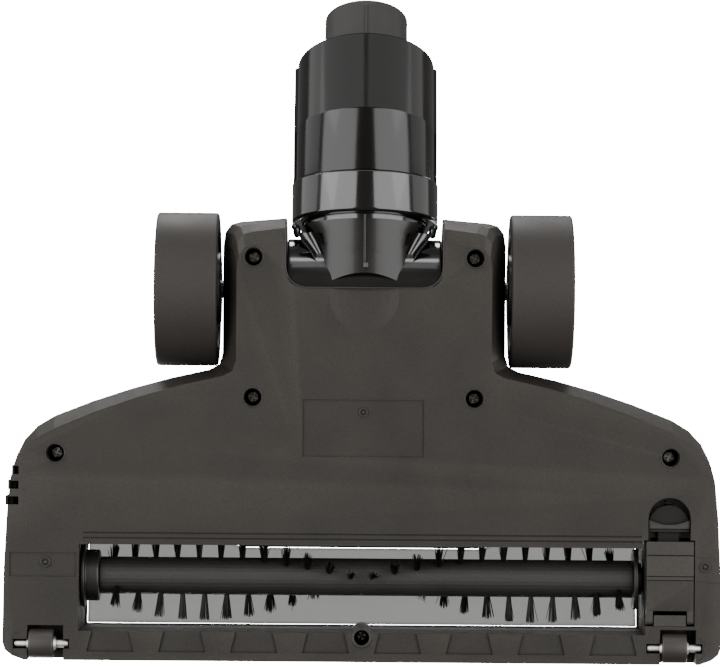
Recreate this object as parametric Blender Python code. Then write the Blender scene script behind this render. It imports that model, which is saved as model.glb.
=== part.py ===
"""Powered floor nozzle of a stick vacuum: housing, belt-driven brush roll, rollers, wheels and jointed neck.

Metres, +Z up. The nozzle stands on its wheels and rollers at z = 0, its brush opening near -Y and
its neck pointing to +Y. The origin is under the middle of the whole part.
"""

import math

import bmesh
import bpy
from mathutils import Matrix, Vector

MM = 0.001

# Clearances
TOUCH_GAP = 0.3 * MM
RUN_GAP = 0.5 * MM

# Body in plan. Lengths along Y are measured back from the front edge.
BODY_WIDTH = 267.0 * MM
SIDE_LENGTH = 68.0 * MM
SIDE_TAPER = 2.6 * MM
FRONT_CORNER_X = 8.1 * MM
FRONT_CORNER_Y = 6.5 * MM
REAR_CORNER_X = 18.4 * MM
REAR_APEX = 111.0 * MM
REAR_RADIUS = 277.0 * MM
REAR_FILLET = 5.0 * MM
BLOCK_HALF = 47.5 * MM
BLOCK_LENGTH = 165.5 * MM
BLOCK_CORNER = 10.5 * MM
BLOCK_SLANT = 1.5 * MM

# How far the side walls lean out from the sole up to the parting line
FLARE_SIDE = 1.0 * MM
FLARE_REAR = 2.9 * MM
FLARE_REAR_RADIUS = 22.0 * MM
FLARE_BLOCK = 5.7 * MM

# Body heights
SOLE_Z = 3.0 * MM
PARTING_Z = 22.0 * MM
NOSE_TOP = 38.0 * MM
WING_TOP = 46.0 * MM
HUMP_TOP = 58.0 * MM
COVER_EDGE = 14.0 * MM
FLOOR = 2.5 * MM
WALL = 2.2 * MM
COVER_WALL = 2.4 * MM

# Neck notch and pivot
PIVOT_Y = 138.5 * MM
PIVOT_Z = 29.0 * MM
NOTCH_HALF = 29.4 * MM
NOTCH_FRONT = 139.2 * MM
NOTCH_CORNER = 7.3 * MM
DIMPLE_Y = 135.8 * MM
DIMPLE_RADIUS = 13.0 * MM
DIMPLE_DEPTH = 1.2 * MM

# Brush roll and its slot
ROLL_Y = 30.7 * MM
ROLL_Z = 18.0 * MM
CORE_RADIUS = 7.0 * MM
CORE_LEFT = -101.5 * MM
CORE_RIGHT = 98.3 * MM
TIP_RADIUS = 17.1 * MM
TUFT_COUNT = 24
TUFT_PITCH = 8.16 * MM
TUFT_WIDTH = 3.2 * MM
TUFT_DEPTH = 2.4 * MM
TUFT_TURN = math.radians(12.4)
ROW_B_SHIFT = -2.2 * MM
ROW_STRIP = 1.6 * MM
DRIVE_COLLAR_RADIUS = 9.6 * MM
DRIVE_FLANGE_RADIUS = 11.9 * MM
IDLE_FLANGE_RADIUS = 11.3 * MM
SLOT_FRONT = 10.9 * MM
SLOT_REAR = 43.2 * MM
SLOT_HALF = 105.3 * MM
LIP_RECESSES = 8
LIP_PITCH = 26.7 * MM
LIP_DEPTH = 0.8 * MM

# Window over the roll
WINDOW_HALF = 104.6 * MM
WINDOW_REAR = 45.2 * MM
WINDOW_BULGE = 40.3 * MM
WINDOW_BULGE_HALF = 48.0 * MM
WINDOW_WALL = 2.2 * MM

# Screws
SCREW_PLACES = ((41.25 * MM, 150.4 * MM), (41.25 * MM, 98.2 * MM), (114.4 * MM, 76.9 * MM))
FRONT_SCREW_Y = 9.1 * MM
SCREW_HEAD = 3.0 * MM
SCREW_SHANK = 1.4 * MM
SCREW_WELL = 3.25 * MM
FRONT_SCREW_WELL = 2.85 * MM
SCREW_SEAT_Z = 15.0 * MM
SCREW_TIP_Z = 31.0 * MM
BOSS_RADIUS = 5.0 * MM
FRONT_BOSS_RADIUS = 3.9 * MM

# Front rollers
ROLLER_RADIUS = 5.5 * MM
ROLLER_WIDTH = 9.2 * MM
ROLLER_RIGHT_X = 119.1 * MM
ROLLER_LEFT_X = -116.2 * MM
ROLLER_Y = 6.0 * MM
ROLLER_POCKET_HALF = 6.7 * MM
ROLLER_POCKET_X = 117.55 * MM
ROLLER_POCKET_END = 13.0 * MM
ROLLER_AXLE = 1.5 * MM
ROLLER_AXLE_HALF = 10.1 * MM

# Pocket roofs, vents and the roll's shaft
POCKET_ROOF = 12.6 * MM
LATCH_ROOF = 10.5 * MM
VENTS = (70.5 * MM, 65.0 * MM, 59.2 * MM)
VENT_HALF = 1.5 * MM
VENT_DEPTH = 3.0 * MM
ROLL_SHAFT = 4.0 * MM

# Wheels
WHEEL_RADIUS = PIVOT_Z
WHEEL_INNER = 55.0 * MM
WHEEL_WIDTH = 23.3 * MM
WHEEL_HUB_RADIUS = 22.0 * MM
WHEEL_BOSS_RADIUS = 14.0 * MM
WHEEL_AXLE = 3.5 * MM

# Bearing cap and latch at the idle end
CAP_INNER = 105.6 * MM
CAP_OUTER = 123.3 * MM
CAP_FRONT = 14.6 * MM
CAP_REAR = 45.8 * MM
CAP_TOP_Z = 9.0 * MM
CAP_NOTCH = 20.0 * MM
CAP_LEG = 2.6 * MM
CAP_HINGE = 1.5 * MM
LATCH_X = -114.1 * MM
LATCH_HALF = 7.9 * MM
LATCH_POCKET_FRONT = 46.4 * MM
LATCH_POCKET_REAR = 62.1 * MM
LATCH_NOSE_LOW = 6.2 * MM
IDLE_REACH = 7.0 * MM

# Drive
MOTOR_Y = 64.6 * MM
MOTOR_Z = 24.0 * MM
MOTOR_RADIUS = 11.5 * MM
CLAMP_WALL = 1.3 * MM
MOTOR_LEFT = 48.0 * MM
MOTOR_RIGHT = 94.0 * MM
PULLEY_X = 115.0 * MM
BELT_WIDTH = 6.0 * MM
BELT_THICK = 1.4 * MM
BRUSH_PULLEY = 8.0 * MM
BRUSH_TEETH = 24
MOTOR_TEETH = 14
MOTOR_PULLEY = BRUSH_PULLEY * MOTOR_TEETH / BRUSH_TEETH

# Neck
BARREL_RADIUS = 19.3 * MM
BARREL_HALF = 28.9 * MM
TRUNNION_RADIUS = 6.0 * MM
TRUNNION_LENGTH = 5.0 * MM
NECK_ANGLE = math.radians(10.0)
TIP_ANGLE = math.radians(27.0)
COLLAR_RADIUS = 27.7 * MM
COLLAR_START = 25.2 * MM
COLLAR_LENGTH = 15.6 * MM
BAND_RADIUS = 26.2 * MM
TOP_SHELL_EXTRA = 1.1 * MM
MITRE_AT = 61.0 * MM
UPPER_LENGTH = 29.0 * MM
NECK_WALL = 2.4 * MM
STUB_RADIUS = 15.9 * MM
STUB_BORE = 13.6 * MM
STUB_LENGTH = 21.2 * MM
STUB_RIB = 1.5 * MM
STUB_START = 12.0 * MM
SOCKET_RADIUS = 23.3 * MM
YOKE_WALL = 2.4 * MM
FUNNEL_ARC_Y = 118.3 * MM
FUNNEL_ARC_RADIUS = 27.3 * MM

ROUND = 32
SMALL_ROUND = 12

NECK_AXIS = Vector((0.0, math.cos(NECK_ANGLE), math.sin(NECK_ANGLE)))
TIP_AXIS = Vector((0.0, math.cos(TIP_ANGLE), math.sin(TIP_ANGLE)))
OVERALL_LENGTH = (
    PIVOT_Y
    + MITRE_AT * NECK_AXIS.y
    + (UPPER_LENGTH + STUB_LENGTH) * TIP_AXIS.y
    + STUB_RADIUS * TIP_AXIS.z
)
FRONT_Y = -OVERALL_LENGTH / 2
PIVOT = Vector((0.0, FRONT_Y + PIVOT_Y, PIVOT_Z))
ROLL_AXIS = Vector((0.0, FRONT_Y + ROLL_Y, ROLL_Z))
MOTOR_AXIS = Vector((0.0, FRONT_Y + MOTOR_Y, MOTOR_Z))


# ---------------------------------------------------------------- materials and mesh helpers


def make_material(name, colour, roughness, metallic=0.0, clear=0.0):
    material = bpy.data.materials.new(name)
    material.use_nodes = True
    shader = material.node_tree.nodes["Principled BSDF"]
    shader.inputs["Base Color"].default_value = (*colour, 1.0)
    shader.inputs["Roughness"].default_value = roughness
    shader.inputs["Metallic"].default_value = metallic
    shader.inputs["Transmission Weight"].default_value = clear
    return material


def add_object(name, points, faces, material):
    """A mesh object in world coordinates, with its normals facing out."""
    mesh = bpy.data.meshes.new(name)
    mesh.from_pydata([tuple(point) for point in points], [], faces)
    shell = bmesh.new()
    shell.from_mesh(mesh)
    bmesh.ops.remove_doubles(shell, verts=shell.verts, dist=1e-7)
    bmesh.ops.recalc_face_normals(shell, faces=shell.faces)
    shell.to_mesh(mesh)
    shell.free()
    mesh.materials.append(material)
    mesh.shade_smooth()
    mesh.set_sharp_from_angle(angle=math.radians(35))
    obj = bpy.data.objects.new(name, mesh)
    bpy.context.scene.collection.objects.link(obj)
    return obj


def loft(name, sections, material):
    """A closed solid through loops of equal length, with a flat cap on each end."""
    size = len(sections[0])
    points = [point for section in sections for point in section]
    faces = [list(range(size))[::-1]]
    for level in range(len(sections) - 1):
        low = level * size
        for i in range(size):
            j = (i + 1) % size
            faces.append((low + i, low + j, low + size + j, low + size + i))
    last = (len(sections) - 1) * size
    faces.append(list(range(last, last + size)))
    return add_object(name, points, faces, material)


def combine(target, tools, operation="DIFFERENCE"):
    """Applies each tool to the target with an exact Boolean and removes the tool."""
    for tool in tools:
        modifier = target.modifiers.new("boolean", "BOOLEAN")
        modifier.operation = operation
        modifier.solver = "EXACT"
        modifier.object = tool
        graph = bpy.context.evaluated_depsgraph_get()
        result = bpy.data.meshes.new_from_object(target.evaluated_get(graph))
        target.modifiers.remove(modifier)
        old = target.data
        target.data = result
        result.name = target.name
        bpy.data.meshes.remove(old)
        bpy.data.meshes.remove(tool.data)
    return target


def cut(target, *tools):
    return combine(target, tools)


def join(target, *tools):
    return combine(target, tools, "UNION")


def keep(target, *tools):
    return combine(target, tools, "INTERSECT")


def box(low, high, material=None, name="box"):
    """A box between two corners, each (x, y, z)."""
    (x0, y0, z0), (x1, y1, z1) = low, high
    base = [(x0, y0), (x1, y0), (x1, y1), (x0, y1)]
    return prism(base, z0, z1, material, name)


def prism(outline, low, high, material=None, name="prism"):
    """An outline in X and Y, raised along Z."""
    sections = [[(x, y, z) for x, y in outline] for z in (low, high)]
    return loft(name, sections, material)


def side_prism(outline, low, high, material=None, name="side_prism"):
    """An outline in Y and Z, raised along X."""
    sections = [[(x, y, z) for y, z in outline] for x in (low, high)]
    return loft(name, sections, material)


def axes_for(direction):
    """A rotation that turns +Z to the direction."""
    return Vector(direction).to_track_quat("Z", "Y").to_matrix().to_4x4()


def turned(name, profile, origin, direction, material=None, steps=ROUND):
    """A solid turned about an axis from (radius, distance) corners. A hollow one never touches the axis."""
    place = Matrix.Translation(origin) @ axes_for(direction)
    points = []
    rings = []
    for radius, distance in profile:
        if radius < 1e-9:
            rings.append([len(points)] * steps)
            points.append(place @ Vector((0.0, 0.0, distance)))
            continue
        rings.append(list(range(len(points), len(points) + steps)))
        for step in range(steps):
            angle = math.tau * (step + 0.5) / steps
            spot = Vector((radius * math.cos(angle), radius * math.sin(angle), distance))
            points.append(place @ spot)
    faces = []
    for first, second in zip(rings, rings[1:] + rings[:1]):
        if first[0] == first[1] and second[0] == second[1]:
            continue
        for i in range(steps):
            j = (i + 1) % steps
            corners = [first[i], first[j], second[j], second[i]]
            faces.append(list(dict.fromkeys(corners)))
    return add_object(name, points, faces, material)


def rod(start, end, radius, material=None, name="rod", steps=SMALL_ROUND, bevel=0.0):
    """A round bar between two points, with optional bevelled ends."""
    start = Vector(start)
    axis = Vector(end) - start
    length = axis.length
    profile = [(0.0, 0.0), (radius - bevel, 0.0), (radius, bevel)]
    profile += [(radius, length - bevel), (radius - bevel, length), (0.0, length)]
    if not bevel:
        profile = [(0.0, 0.0), (radius, 0.0), (radius, length), (0.0, length)]
    return turned(name, profile, start, axis, material, steps)


def pipe(start, end, outer, inner, material=None, name="pipe", steps=ROUND):
    """A round tube between two points."""
    start = Vector(start)
    axis = Vector(end) - start
    length = axis.length
    profile = [(outer, 0.0), (outer, length), (inner, length), (inner, 0.0)]
    return turned(name, profile, start, axis, material, steps)


def bend(start, control, end, steps):
    """Points along a quadratic curve from start to end, both included."""
    points = []
    for step in range(steps + 1):
        t = step / steps
        weights = ((1 - t) ** 2, 2 * t * (1 - t), t * t)
        points.append(tuple(
            sum(weight * point[axis] for weight, point in zip(weights, (start, control, end)))
            for axis in (0, 1)
        ))
    return points


def arc_points(centre, radius, first, last, steps):
    """Points (a, b) round a centre, from one angle to another in degrees."""
    points = []
    for step in range(steps + 1):
        angle = math.radians(first + (last - first) * step / steps)
        points.append((centre[0] + radius * math.cos(angle), centre[1] + radius * math.sin(angle)))
    return points


def mix(low, high, share):
    return low + (high - low) * share


def smooth_step(low, high, value):
    share = min(max((value - low) / (high - low), 0.0), 1.0)
    return share * share * (3 - 2 * share)


# ---------------------------------------------------------------- body outline and surfaces


def side_x(y_back, half):
    """Half width of the side at a distance from the front edge: it draws in slowly towards the rear."""
    return half - SIDE_TAPER * (y_back / SIDE_LENGTH) ** 3


def body_outline(flare, inset=0.0, tail_cut=0.0):
    """Right half of the body in plan, front to rear, as (x, distance from the front edge).

    flare goes from 0 on the sole to 1 at the parting line. inset moves the whole outline inwards.
    """
    half = BODY_WIDTH / 2 + FLARE_SIDE * flare - inset
    block = BLOCK_HALF + FLARE_BLOCK * flare - inset
    apex = REAR_APEX + FLARE_REAR * flare - inset
    radius = REAR_RADIUS + FLARE_REAR_RADIUS * flare - inset
    tail = BLOCK_LENGTH - inset - tail_cut

    def rear_y(x):
        return apex - radius + math.sqrt(radius ** 2 - x ** 2)

    points = bend(
        (half - FRONT_CORNER_X, inset),
        (half - 0.2 * MM, inset + 1.9 * MM),
        (half, inset + FRONT_CORNER_Y),
        3,
    )
    points += [(side_x(y, half), y) for y in (0.5 * SIDE_LENGTH, 0.8 * SIDE_LENGTH)]
    side_end = SIDE_LENGTH - inset
    corner_x = half - REAR_CORNER_X
    corner = (side_x(side_end, half) - 1.2 * MM, rear_y(corner_x) - 6.7 * MM)
    points += bend((side_x(side_end, half), side_end), corner, (corner_x, rear_y(corner_x)), 4)
    fillet_x = block + REAR_FILLET
    points += [
        (x, rear_y(x))
        for x in (mix(corner_x, fillet_x, share) for share in (0.25, 0.5, 0.75))
    ]
    fillet_y = rear_y(block) + REAR_FILLET
    points += bend((fillet_x, rear_y(fillet_x)), (block, rear_y(block)), (block, fillet_y), 2)
    tail_y = tail - BLOCK_SLANT
    points += bend((block, tail - BLOCK_CORNER), (block, tail_y), (block - 6.6 * MM, tail_y), 3)
    points.append((NOTCH_HALF - inset, tail))
    return points


def cover_height(x, y_back):
    """Height of the cover's top surface above the floor, before its edge is rounded over."""
    wing = mix(NOSE_TOP, WING_TOP, smooth_step(8 * MM, 0.9 * SIDE_LENGTH, y_back))
    hump = smooth_step(0.65 * SIDE_LENGTH, REAR_APEX - 6 * MM, y_back)
    hump *= 1 - smooth_step(BLOCK_HALF - 6 * MM, 2.05 * BLOCK_HALF, abs(x))
    height = mix(wing, HUMP_TOP, hump)
    behind = max(y_back - PIVOT_Y, 0.0)
    round_radius = BLOCK_LENGTH - PIVOT_Y + 2.5 * MM
    drop = HUMP_TOP - PIVOT_Z - math.sqrt(max(round_radius ** 2 - behind ** 2, 0.0))
    return height - max(drop, 0.0)


COLUMNS = (-0.75, -0.5, -0.25, 0.0, 0.25, 0.5, 0.75)


def ring_of(half):
    """A closed loop from a right half outline: right side, rear edge, left side, front edge."""
    front_x, front_y = half[0]
    rear_x, rear_y = half[-1]
    ring = list(half)
    ring += [(-share * rear_x, rear_y) for share in COLUMNS]
    ring += [(-x, y) for x, y in reversed(half)]
    ring += [(share * front_x, front_y) for share in COLUMNS]
    return ring


def tray_solid(name, inset, low, high, rise=0.0, material=None):
    """The lower housing's filled shape, with a rounded tail under the ears. rise extends it upwards."""
    levels = ((0.0, 9.0 * MM), (0.12, 4.2 * MM), (0.35, 1.2 * MM), (1.0, 0.0))
    sections = []
    for share, tail_cut in levels:
        ring = ring_of(body_outline(share, inset, tail_cut))
        z = mix(low, high, share)
        sections.append([(x, FRONT_Y + y, z) for x, y in ring])
    if rise:
        sections.append([(x, y, z + rise) for x, y, z in sections[-1]])
    return loft(name, sections, material)


def dome_solid(name, inset, low, material=None):
    """The upper housing's filled shape: steep walls, a rounded shoulder and a crowned top."""
    count = len(body_outline(1.0))
    width = len(COLUMNS) + 2
    points = []
    faces = []
    rings = []
    shoulder = (0.0, 22.0, 45.0, 66.0, 90.0)
    for degrees in shoulder:
        angle = math.radians(degrees)
        draw_in = inset + COVER_EDGE * (1 - math.cos(angle)) ** 1.35
        ring = ring_of(body_outline(1.0, draw_in))
        rings.append(list(range(len(points), len(points) + len(ring))))
        for x, y in ring:
            top = cover_height(x, y) - inset
            points.append((x, FRONT_Y + y, mix(low, top, math.sin(angle) ** 0.8)))
    size = len(rings[0])
    for lower, upper in zip(rings, rings[1:]):
        for i in range(size):
            j = (i + 1) % size
            faces.append((lower[i], lower[j], upper[j], upper[i]))
    faces.append(rings[0][::-1])
    top_ring = rings[-1]
    half = body_outline(1.0, inset + COVER_EDGE)
    left = [top_ring[2 * count + len(COLUMNS) - 1 - i] for i in range(count)]
    rows = [[left[0]] + top_ring[2 * count + len(COLUMNS):] + [top_ring[0]]]
    for i in range(1, count - 1):
        x_edge, y = half[i]
        row = [left[i]]
        for share in COLUMNS:
            row.append(len(points))
            x = share * x_edge
            points.append((x, FRONT_Y + y, cover_height(x, y) - inset))
        rows.append(row + [top_ring[i]])
    rear = top_ring[count:count + len(COLUMNS)]
    rows.append([left[-1]] + rear[::-1] + [top_ring[count - 1]])
    for near, far in zip(rows, rows[1:]):
        for j in range(width - 1):
            faces.append((near[j], near[j + 1], far[j + 1], far[j]))
    return add_object(name, points, split_quads(faces), material)


def split_quads(faces):
    """The same faces with each four-sided one, which may be twisted, as two triangles."""
    flat = []
    for face in faces:
        if len(face) == 4:
            flat += [(face[0], face[1], face[2]), (face[0], face[2], face[3])]
        else:
            flat.append(face)
    return flat


def wheel_arches(wall=0.0):
    """The room round both rear wheels, so that a larger wheel still turns free of the housing."""
    arches = []
    reach = TOUCH_GAP + wall
    for side in (-1, 1):
        inner = (side * (WHEEL_INNER - reach), PIVOT.y, PIVOT.z)
        outer = (side * (WHEEL_INNER + WHEEL_WIDTH + reach), PIVOT.y, PIVOT.z)
        arches.append(rod(inner, outer, WHEEL_RADIUS + reach, steps=48))
    return arches


def notch_outline(grow=0.0):
    """The open notch between the ears, in plan, with rounded front corners."""
    half = NOTCH_HALF + grow
    front = FRONT_Y + NOTCH_FRONT - grow
    rear = FRONT_Y + BLOCK_LENGTH + 20 * MM
    right = bend((half, front + NOTCH_CORNER), (half, front), (half - NOTCH_CORNER, front), 6)
    left = [(-x, y) for x, y in reversed(right)]
    return [(half, rear)] + right + left + [(-half, rear)]


def neck_room(grow=0.0):
    """The room between the ears: round the barrel, above it for the raised collar, and out to the rear."""
    half = NOTCH_HALF + grow
    radius = BARREL_RADIUS + 1.2 * MM + grow
    front = PIVOT.y - COLLAR_RADIUS - 1.5 * MM - grow
    ledge = (BARREL_RADIUS + 0.8 * MM) - grow
    outline = [(PIVOT.y - radius, PIVOT.z + ledge)]
    outline += arc_points((PIVOT.y, PIVOT.z), radius, 180, 270, 8)
    rear = FRONT_Y + BLOCK_LENGTH + 20 * MM
    top = HUMP_TOP + 20 * MM
    outline += [(rear, PIVOT.z - radius), (rear, top), (front, top), (front, PIVOT.z + ledge)]
    return side_prism(outline, -half, half)


def screw_places():
    """(name, x, distance from the front edge) of the six sole screws."""
    names = ("ear", "middle", "side")
    places = []
    for name, (x, y_back) in zip(names, SCREW_PLACES):
        places.append((name + "_right", x, y_back))
        places.append((name + "_left", -x, y_back))
    return places


def post(x, y_back, radius, low, high, steps=16):
    """An upright round tool or boss at a place in plan."""
    y = FRONT_Y + y_back
    return rod((x, y, low), (x, y, high), radius, steps=steps)


def slab(x0, x1, back0, back1, low, high):
    """A box given by X, by distances from the front edge, and by Z."""
    return box((x0, FRONT_Y + back0, low), (x1, FRONT_Y + back1, high))


CHAMBER_REAR = ROLL_Y + TIP_RADIUS + 1.0 * MM
MOUTH_HALF = 22.0 * MM
DUCT_WALL = 1.8 * MM


def chamber_wall(low, high):
    """The wall all round the brush roll."""
    outer = SLOT_HALF + WALL
    wall = slab(-outer, outer, SLOT_FRONT - WALL, CHAMBER_REAR + WALL, low, high)
    room = (-SLOT_HALF, SLOT_HALF, SLOT_FRONT, CHAMBER_REAR)
    return cut(wall, slab(*room, low - 1 * MM, high + 1 * MM))


def roll_passage():
    """The hole through both chamber end walls for the brush roll's ends."""
    reach = SLOT_HALF + 4 * MM
    start = (-reach, ROLL_AXIS.y, ROLL_Z)
    return rod(start, (reach, ROLL_AXIS.y, ROLL_Z), ROLL_SHAFT + 0.8 * MM)


def mouth():
    """The hole in the chamber's rear wall that dirt is drawn through."""
    low = SOLE_Z + FLOOR + 2.5 * MM
    return slab(-MOUTH_HALF, MOUTH_HALF, CHAMBER_REAR - 2 * MM, CHAMBER_REAR + 4 * MM, low, 34 * MM)


def rounded_slot(x, half, front, rear, low, high):
    """An upright tool with square front corners and a half-round rear end."""
    centre = (x, FRONT_Y + rear - half)
    outline = arc_points(centre, half, 0, 180, 12)
    outline += [(x - half, FRONT_Y + front), (x + half, FRONT_Y + front)]
    return prism(outline, low, high)


def lens(x, y_back, radius, depth, base):
    """A shallow domed tool that rises from the sole."""
    profile = [(0.0, -1 * MM), (radius, -1 * MM)]
    for share in (1.0, 0.75, 0.5, 0.25, 0.0):
        profile.append((radius * share, depth * (1 - share ** 2)))
    return turned("lens", profile, (x, FRONT_Y + y_back, base), (0, 0, 1), steps=24)


def sole_tools():
    """Everything that is cut from the sole's lower face."""
    below = -5 * MM
    tools = [slab(-SLOT_HALF, SLOT_HALF, SLOT_FRONT, SLOT_REAR, below, SOLE_Z + FLOOR + 1 * MM)]
    front_boss = post(0.0, FRONT_SCREW_Y, FRONT_BOSS_RADIUS, below - 1 * MM, PARTING_Z)
    cut(tools[0], front_boss)
    lip_low = SOLE_Z + LIP_DEPTH
    for i in range(LIP_RECESSES):
        x = (i - (LIP_RECESSES - 1) / 2) * LIP_PITCH
        ends = ((-8.8 * MM, 3.3 * MM), (8.8 * MM, 3.3 * MM), (6.7 * MM, 12 * MM), (-6.7 * MM, 12 * MM))
        outline = [(x + dx, FRONT_Y + y) for dx, y in ends]
        tools.append(prism(outline, below, lip_low))
    for side in (-1, 1):
        x = side * ROLLER_POCKET_X
        half = ROLLER_POCKET_HALF
        tools.append(slab(x - half, x + half, -5 * MM, ROLLER_POCKET_END, below, POCKET_ROOF))
        roller = ROLLER_RIGHT_X if side > 0 else ROLLER_LEFT_X
        reach = ROLLER_AXLE_HALF + TOUCH_GAP
        width = ROLLER_AXLE + TOUCH_GAP
        low = ROLLER_Y - width
        high = ROLLER_Y + width
        tools.append(slab(roller - reach, roller + reach, low, high, below, ROLLER_RADIUS + width))
    gap = TOUCH_GAP
    cap_box = (-CAP_OUTER - gap, -SLOT_HALF + 1 * MM, CAP_FRONT - gap, CAP_REAR + RUN_GAP)
    tools.append(slab(*cap_box, below, CAP_TOP_Z + gap))
    pocket = (LATCH_X, LATCH_HALF, CAP_REAR - 0.5 * MM, LATCH_POCKET_REAR)
    tools.append(rounded_slot(*pocket, below, LATCH_ROOF))
    for y_back in VENTS:
        edge = BODY_WIDTH / 2 - SIDE_TAPER
        tools.append(slab(edge - VENT_DEPTH, edge + 20 * MM, y_back - VENT_HALF, y_back + VENT_HALF,
                          below, PARTING_Z - 5 * MM))
    tools.append(slab(-22.5 * MM, 22.5 * MM, 76.3 * MM, 97.6 * MM, below, SOLE_Z + 0.4 * MM))
    tools.append(lens(0.0, DIMPLE_Y, DIMPLE_RADIUS, DIMPLE_DEPTH, SOLE_Z))
    for y_back in (45.6 * MM, 47.5 * MM):
        tools.append(slab(-103.7 * MM, 103.7 * MM, y_back - 0.3 * MM, y_back + 0.3 * MM,
                          below, SOLE_Z + 0.5 * MM))
    band_x = BODY_WIDTH / 2 - 2.5 * MM
    tools.append(slab(SLOT_HALF + 1 * MM, band_x, 31 * MM, 40 * MM, below, SOLE_Z + 0.4 * MM))
    return tools


def screw_wells():
    """Stepped holes from the sole up through each screw's boss."""
    top = SCREW_TIP_Z + 1 * MM
    pilot = SCREW_SHANK + TOUCH_GAP
    tools = []
    places = [(x, y, SCREW_WELL, 0.45 * MM) for _, x, y in screw_places()]
    places.append((0.0, FRONT_SCREW_Y, FRONT_SCREW_WELL, 0.0))
    for x, y, well, ring in places:
        profile = [(0.0, -5 * MM), (well + ring, -5 * MM)]
        if ring:
            profile += [(well + ring, SOLE_Z + 0.5 * MM), (well, SOLE_Z + 0.5 * MM)]
        profile += [(well, SCREW_SEAT_Z), (pilot, SCREW_SEAT_Z), (pilot, top), (0.0, top)]
        tools.append(turned("well", profile, (x, FRONT_Y + y, 0.0), (0, 0, 1), steps=16))
    return tools


def make_sole_plate(material):
    plate = tray_solid("sole_plate", 0.0, SOLE_Z, PARTING_Z, material=material)
    hollow = tray_solid("hollow", WALL, SOLE_Z + FLOOR, PARTING_Z, rise=3 * MM)
    low = SOLE_Z - 1 * MM
    high = PARTING_Z + 6 * MM
    kept = [chamber_wall(low, high)]
    kept += [post(x, y, BOSS_RADIUS, low, high) for _, x, y in screw_places()]
    kept.append(post(0.0, FRONT_SCREW_Y, FRONT_BOSS_RADIUS, low, high))
    kept.append(prism(notch_outline(WALL), low, high))
    for side in (-1, 1):
        x = side * ROLLER_POCKET_X
        half = ROLLER_POCKET_HALF + 5.6 * MM
        kept.append(slab(x - half, x + half, -5 * MM, ROLLER_POCKET_END + WALL, low, POCKET_ROOF + WALL))
    pocket = (LATCH_X, LATCH_HALF + WALL, CAP_REAR + 1 * MM, LATCH_POCKET_REAR + WALL)
    kept.append(rounded_slot(*pocket, low, LATCH_ROOF + 1.6 * MM))
    cut(hollow, *kept, *wheel_arches(WALL))
    cut(plate, hollow, prism(notch_outline(), -5 * MM, PARTING_Z + 8 * MM), neck_room())
    cut(plate, *sole_tools())
    cut(plate, *screw_wells())
    cut(plate, mouth(), roll_passage(), *wheel_arches())
    return plate


def window_outline(shrink):
    """The clear window in plan, with the cover's edge bulging into its rear middle."""
    half = WINDOW_HALF - shrink
    front = FRONT_Y + SLOT_FRONT + TOUCH_GAP + shrink
    rear = FRONT_Y + WINDOW_REAR - shrink
    bulge = FRONT_Y + WINDOW_BULGE - shrink
    bulge_half = WINDOW_BULGE_HALF + shrink
    right = [(half, front), (half, rear - 3 * MM)]
    right += bend((half, rear - 3 * MM), (half, rear), (half - 3 * MM, rear), 3)[1:]
    middle = (bulge_half + 1.5 * MM, (rear + bulge) / 2)
    right += bend((bulge_half + 6 * MM, rear), (bulge_half + 3 * MM, rear), middle, 3)
    right += bend(middle, (bulge_half, bulge), (bulge_half - 4 * MM, bulge), 3)[1:]
    return right + [(-x, y) for x, y in reversed(right)]


def make_top_cover(material):
    low = PARTING_Z + TOUCH_GAP
    cover = dome_solid("top_cover", 0.0, low, material)
    hollow = dome_solid("hollow", COVER_WALL, low - 2 * MM)
    bottom = low - 4 * MM
    top = HUMP_TOP + 20 * MM
    kept = [chamber_wall(bottom, top)]
    kept += [post(x, y, BOSS_RADIUS - 1 * MM, bottom, top) for _, x, y in screw_places()]
    kept.append(post(0.0, FRONT_SCREW_Y, FRONT_BOSS_RADIUS, bottom, top))
    kept.append(neck_room(COVER_WALL))
    cut(hollow, *kept, *wheel_arches(COVER_WALL))
    cut(cover, hollow, neck_room())
    cut(cover, prism(window_outline(0.0), PARTING_Z + 6 * MM, top))
    for _, x, y in screw_places() + [("front", 0.0, FRONT_SCREW_Y)]:
        cut(cover, post(x, y, SCREW_SHANK + TOUCH_GAP, 0.0, SCREW_TIP_Z + 1 * MM, 12))
    ear = NOTCH_HALF + TRUNNION_LENGTH + 2 * MM
    trunnions = rod((-ear, PIVOT.y, PIVOT.z), (ear, PIVOT.y, PIVOT.z), TRUNNION_RADIUS + TOUCH_GAP)
    cut(cover, trunnions, mouth(), roll_passage(), duct_port())
    for side in (-1, 1):
        start = (side * (WHEEL_INNER + 4 * MM), PIVOT.y, PIVOT.z)
        end = (side * (BLOCK_HALF - 4 * MM), PIVOT.y, PIVOT.z)
        cut(cover, rod(start, end, WHEEL_AXLE + TOUCH_GAP))
    cut(cover, *wheel_arches())
    return cover


def duct_port():
    """The hole from the duct into the barrel's shield."""
    rear = PIVOT_Y - BARREL_RADIUS + 2 * MM
    return slab(-13 * MM, 13 * MM, rear - 8 * MM, rear, PARTING_Z - 6 * MM, PARTING_Z + 18 * MM)


def make_window(material):
    window = dome_solid("brush_window", 0.0, PARTING_Z + TOUCH_GAP, material)
    keep(window, prism(window_outline(TOUCH_GAP), PARTING_Z + 6 * MM, HUMP_TOP + 20 * MM))
    return cut(window, dome_solid("hollow", WINDOW_WALL, PARTING_Z - 4 * MM))


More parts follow.
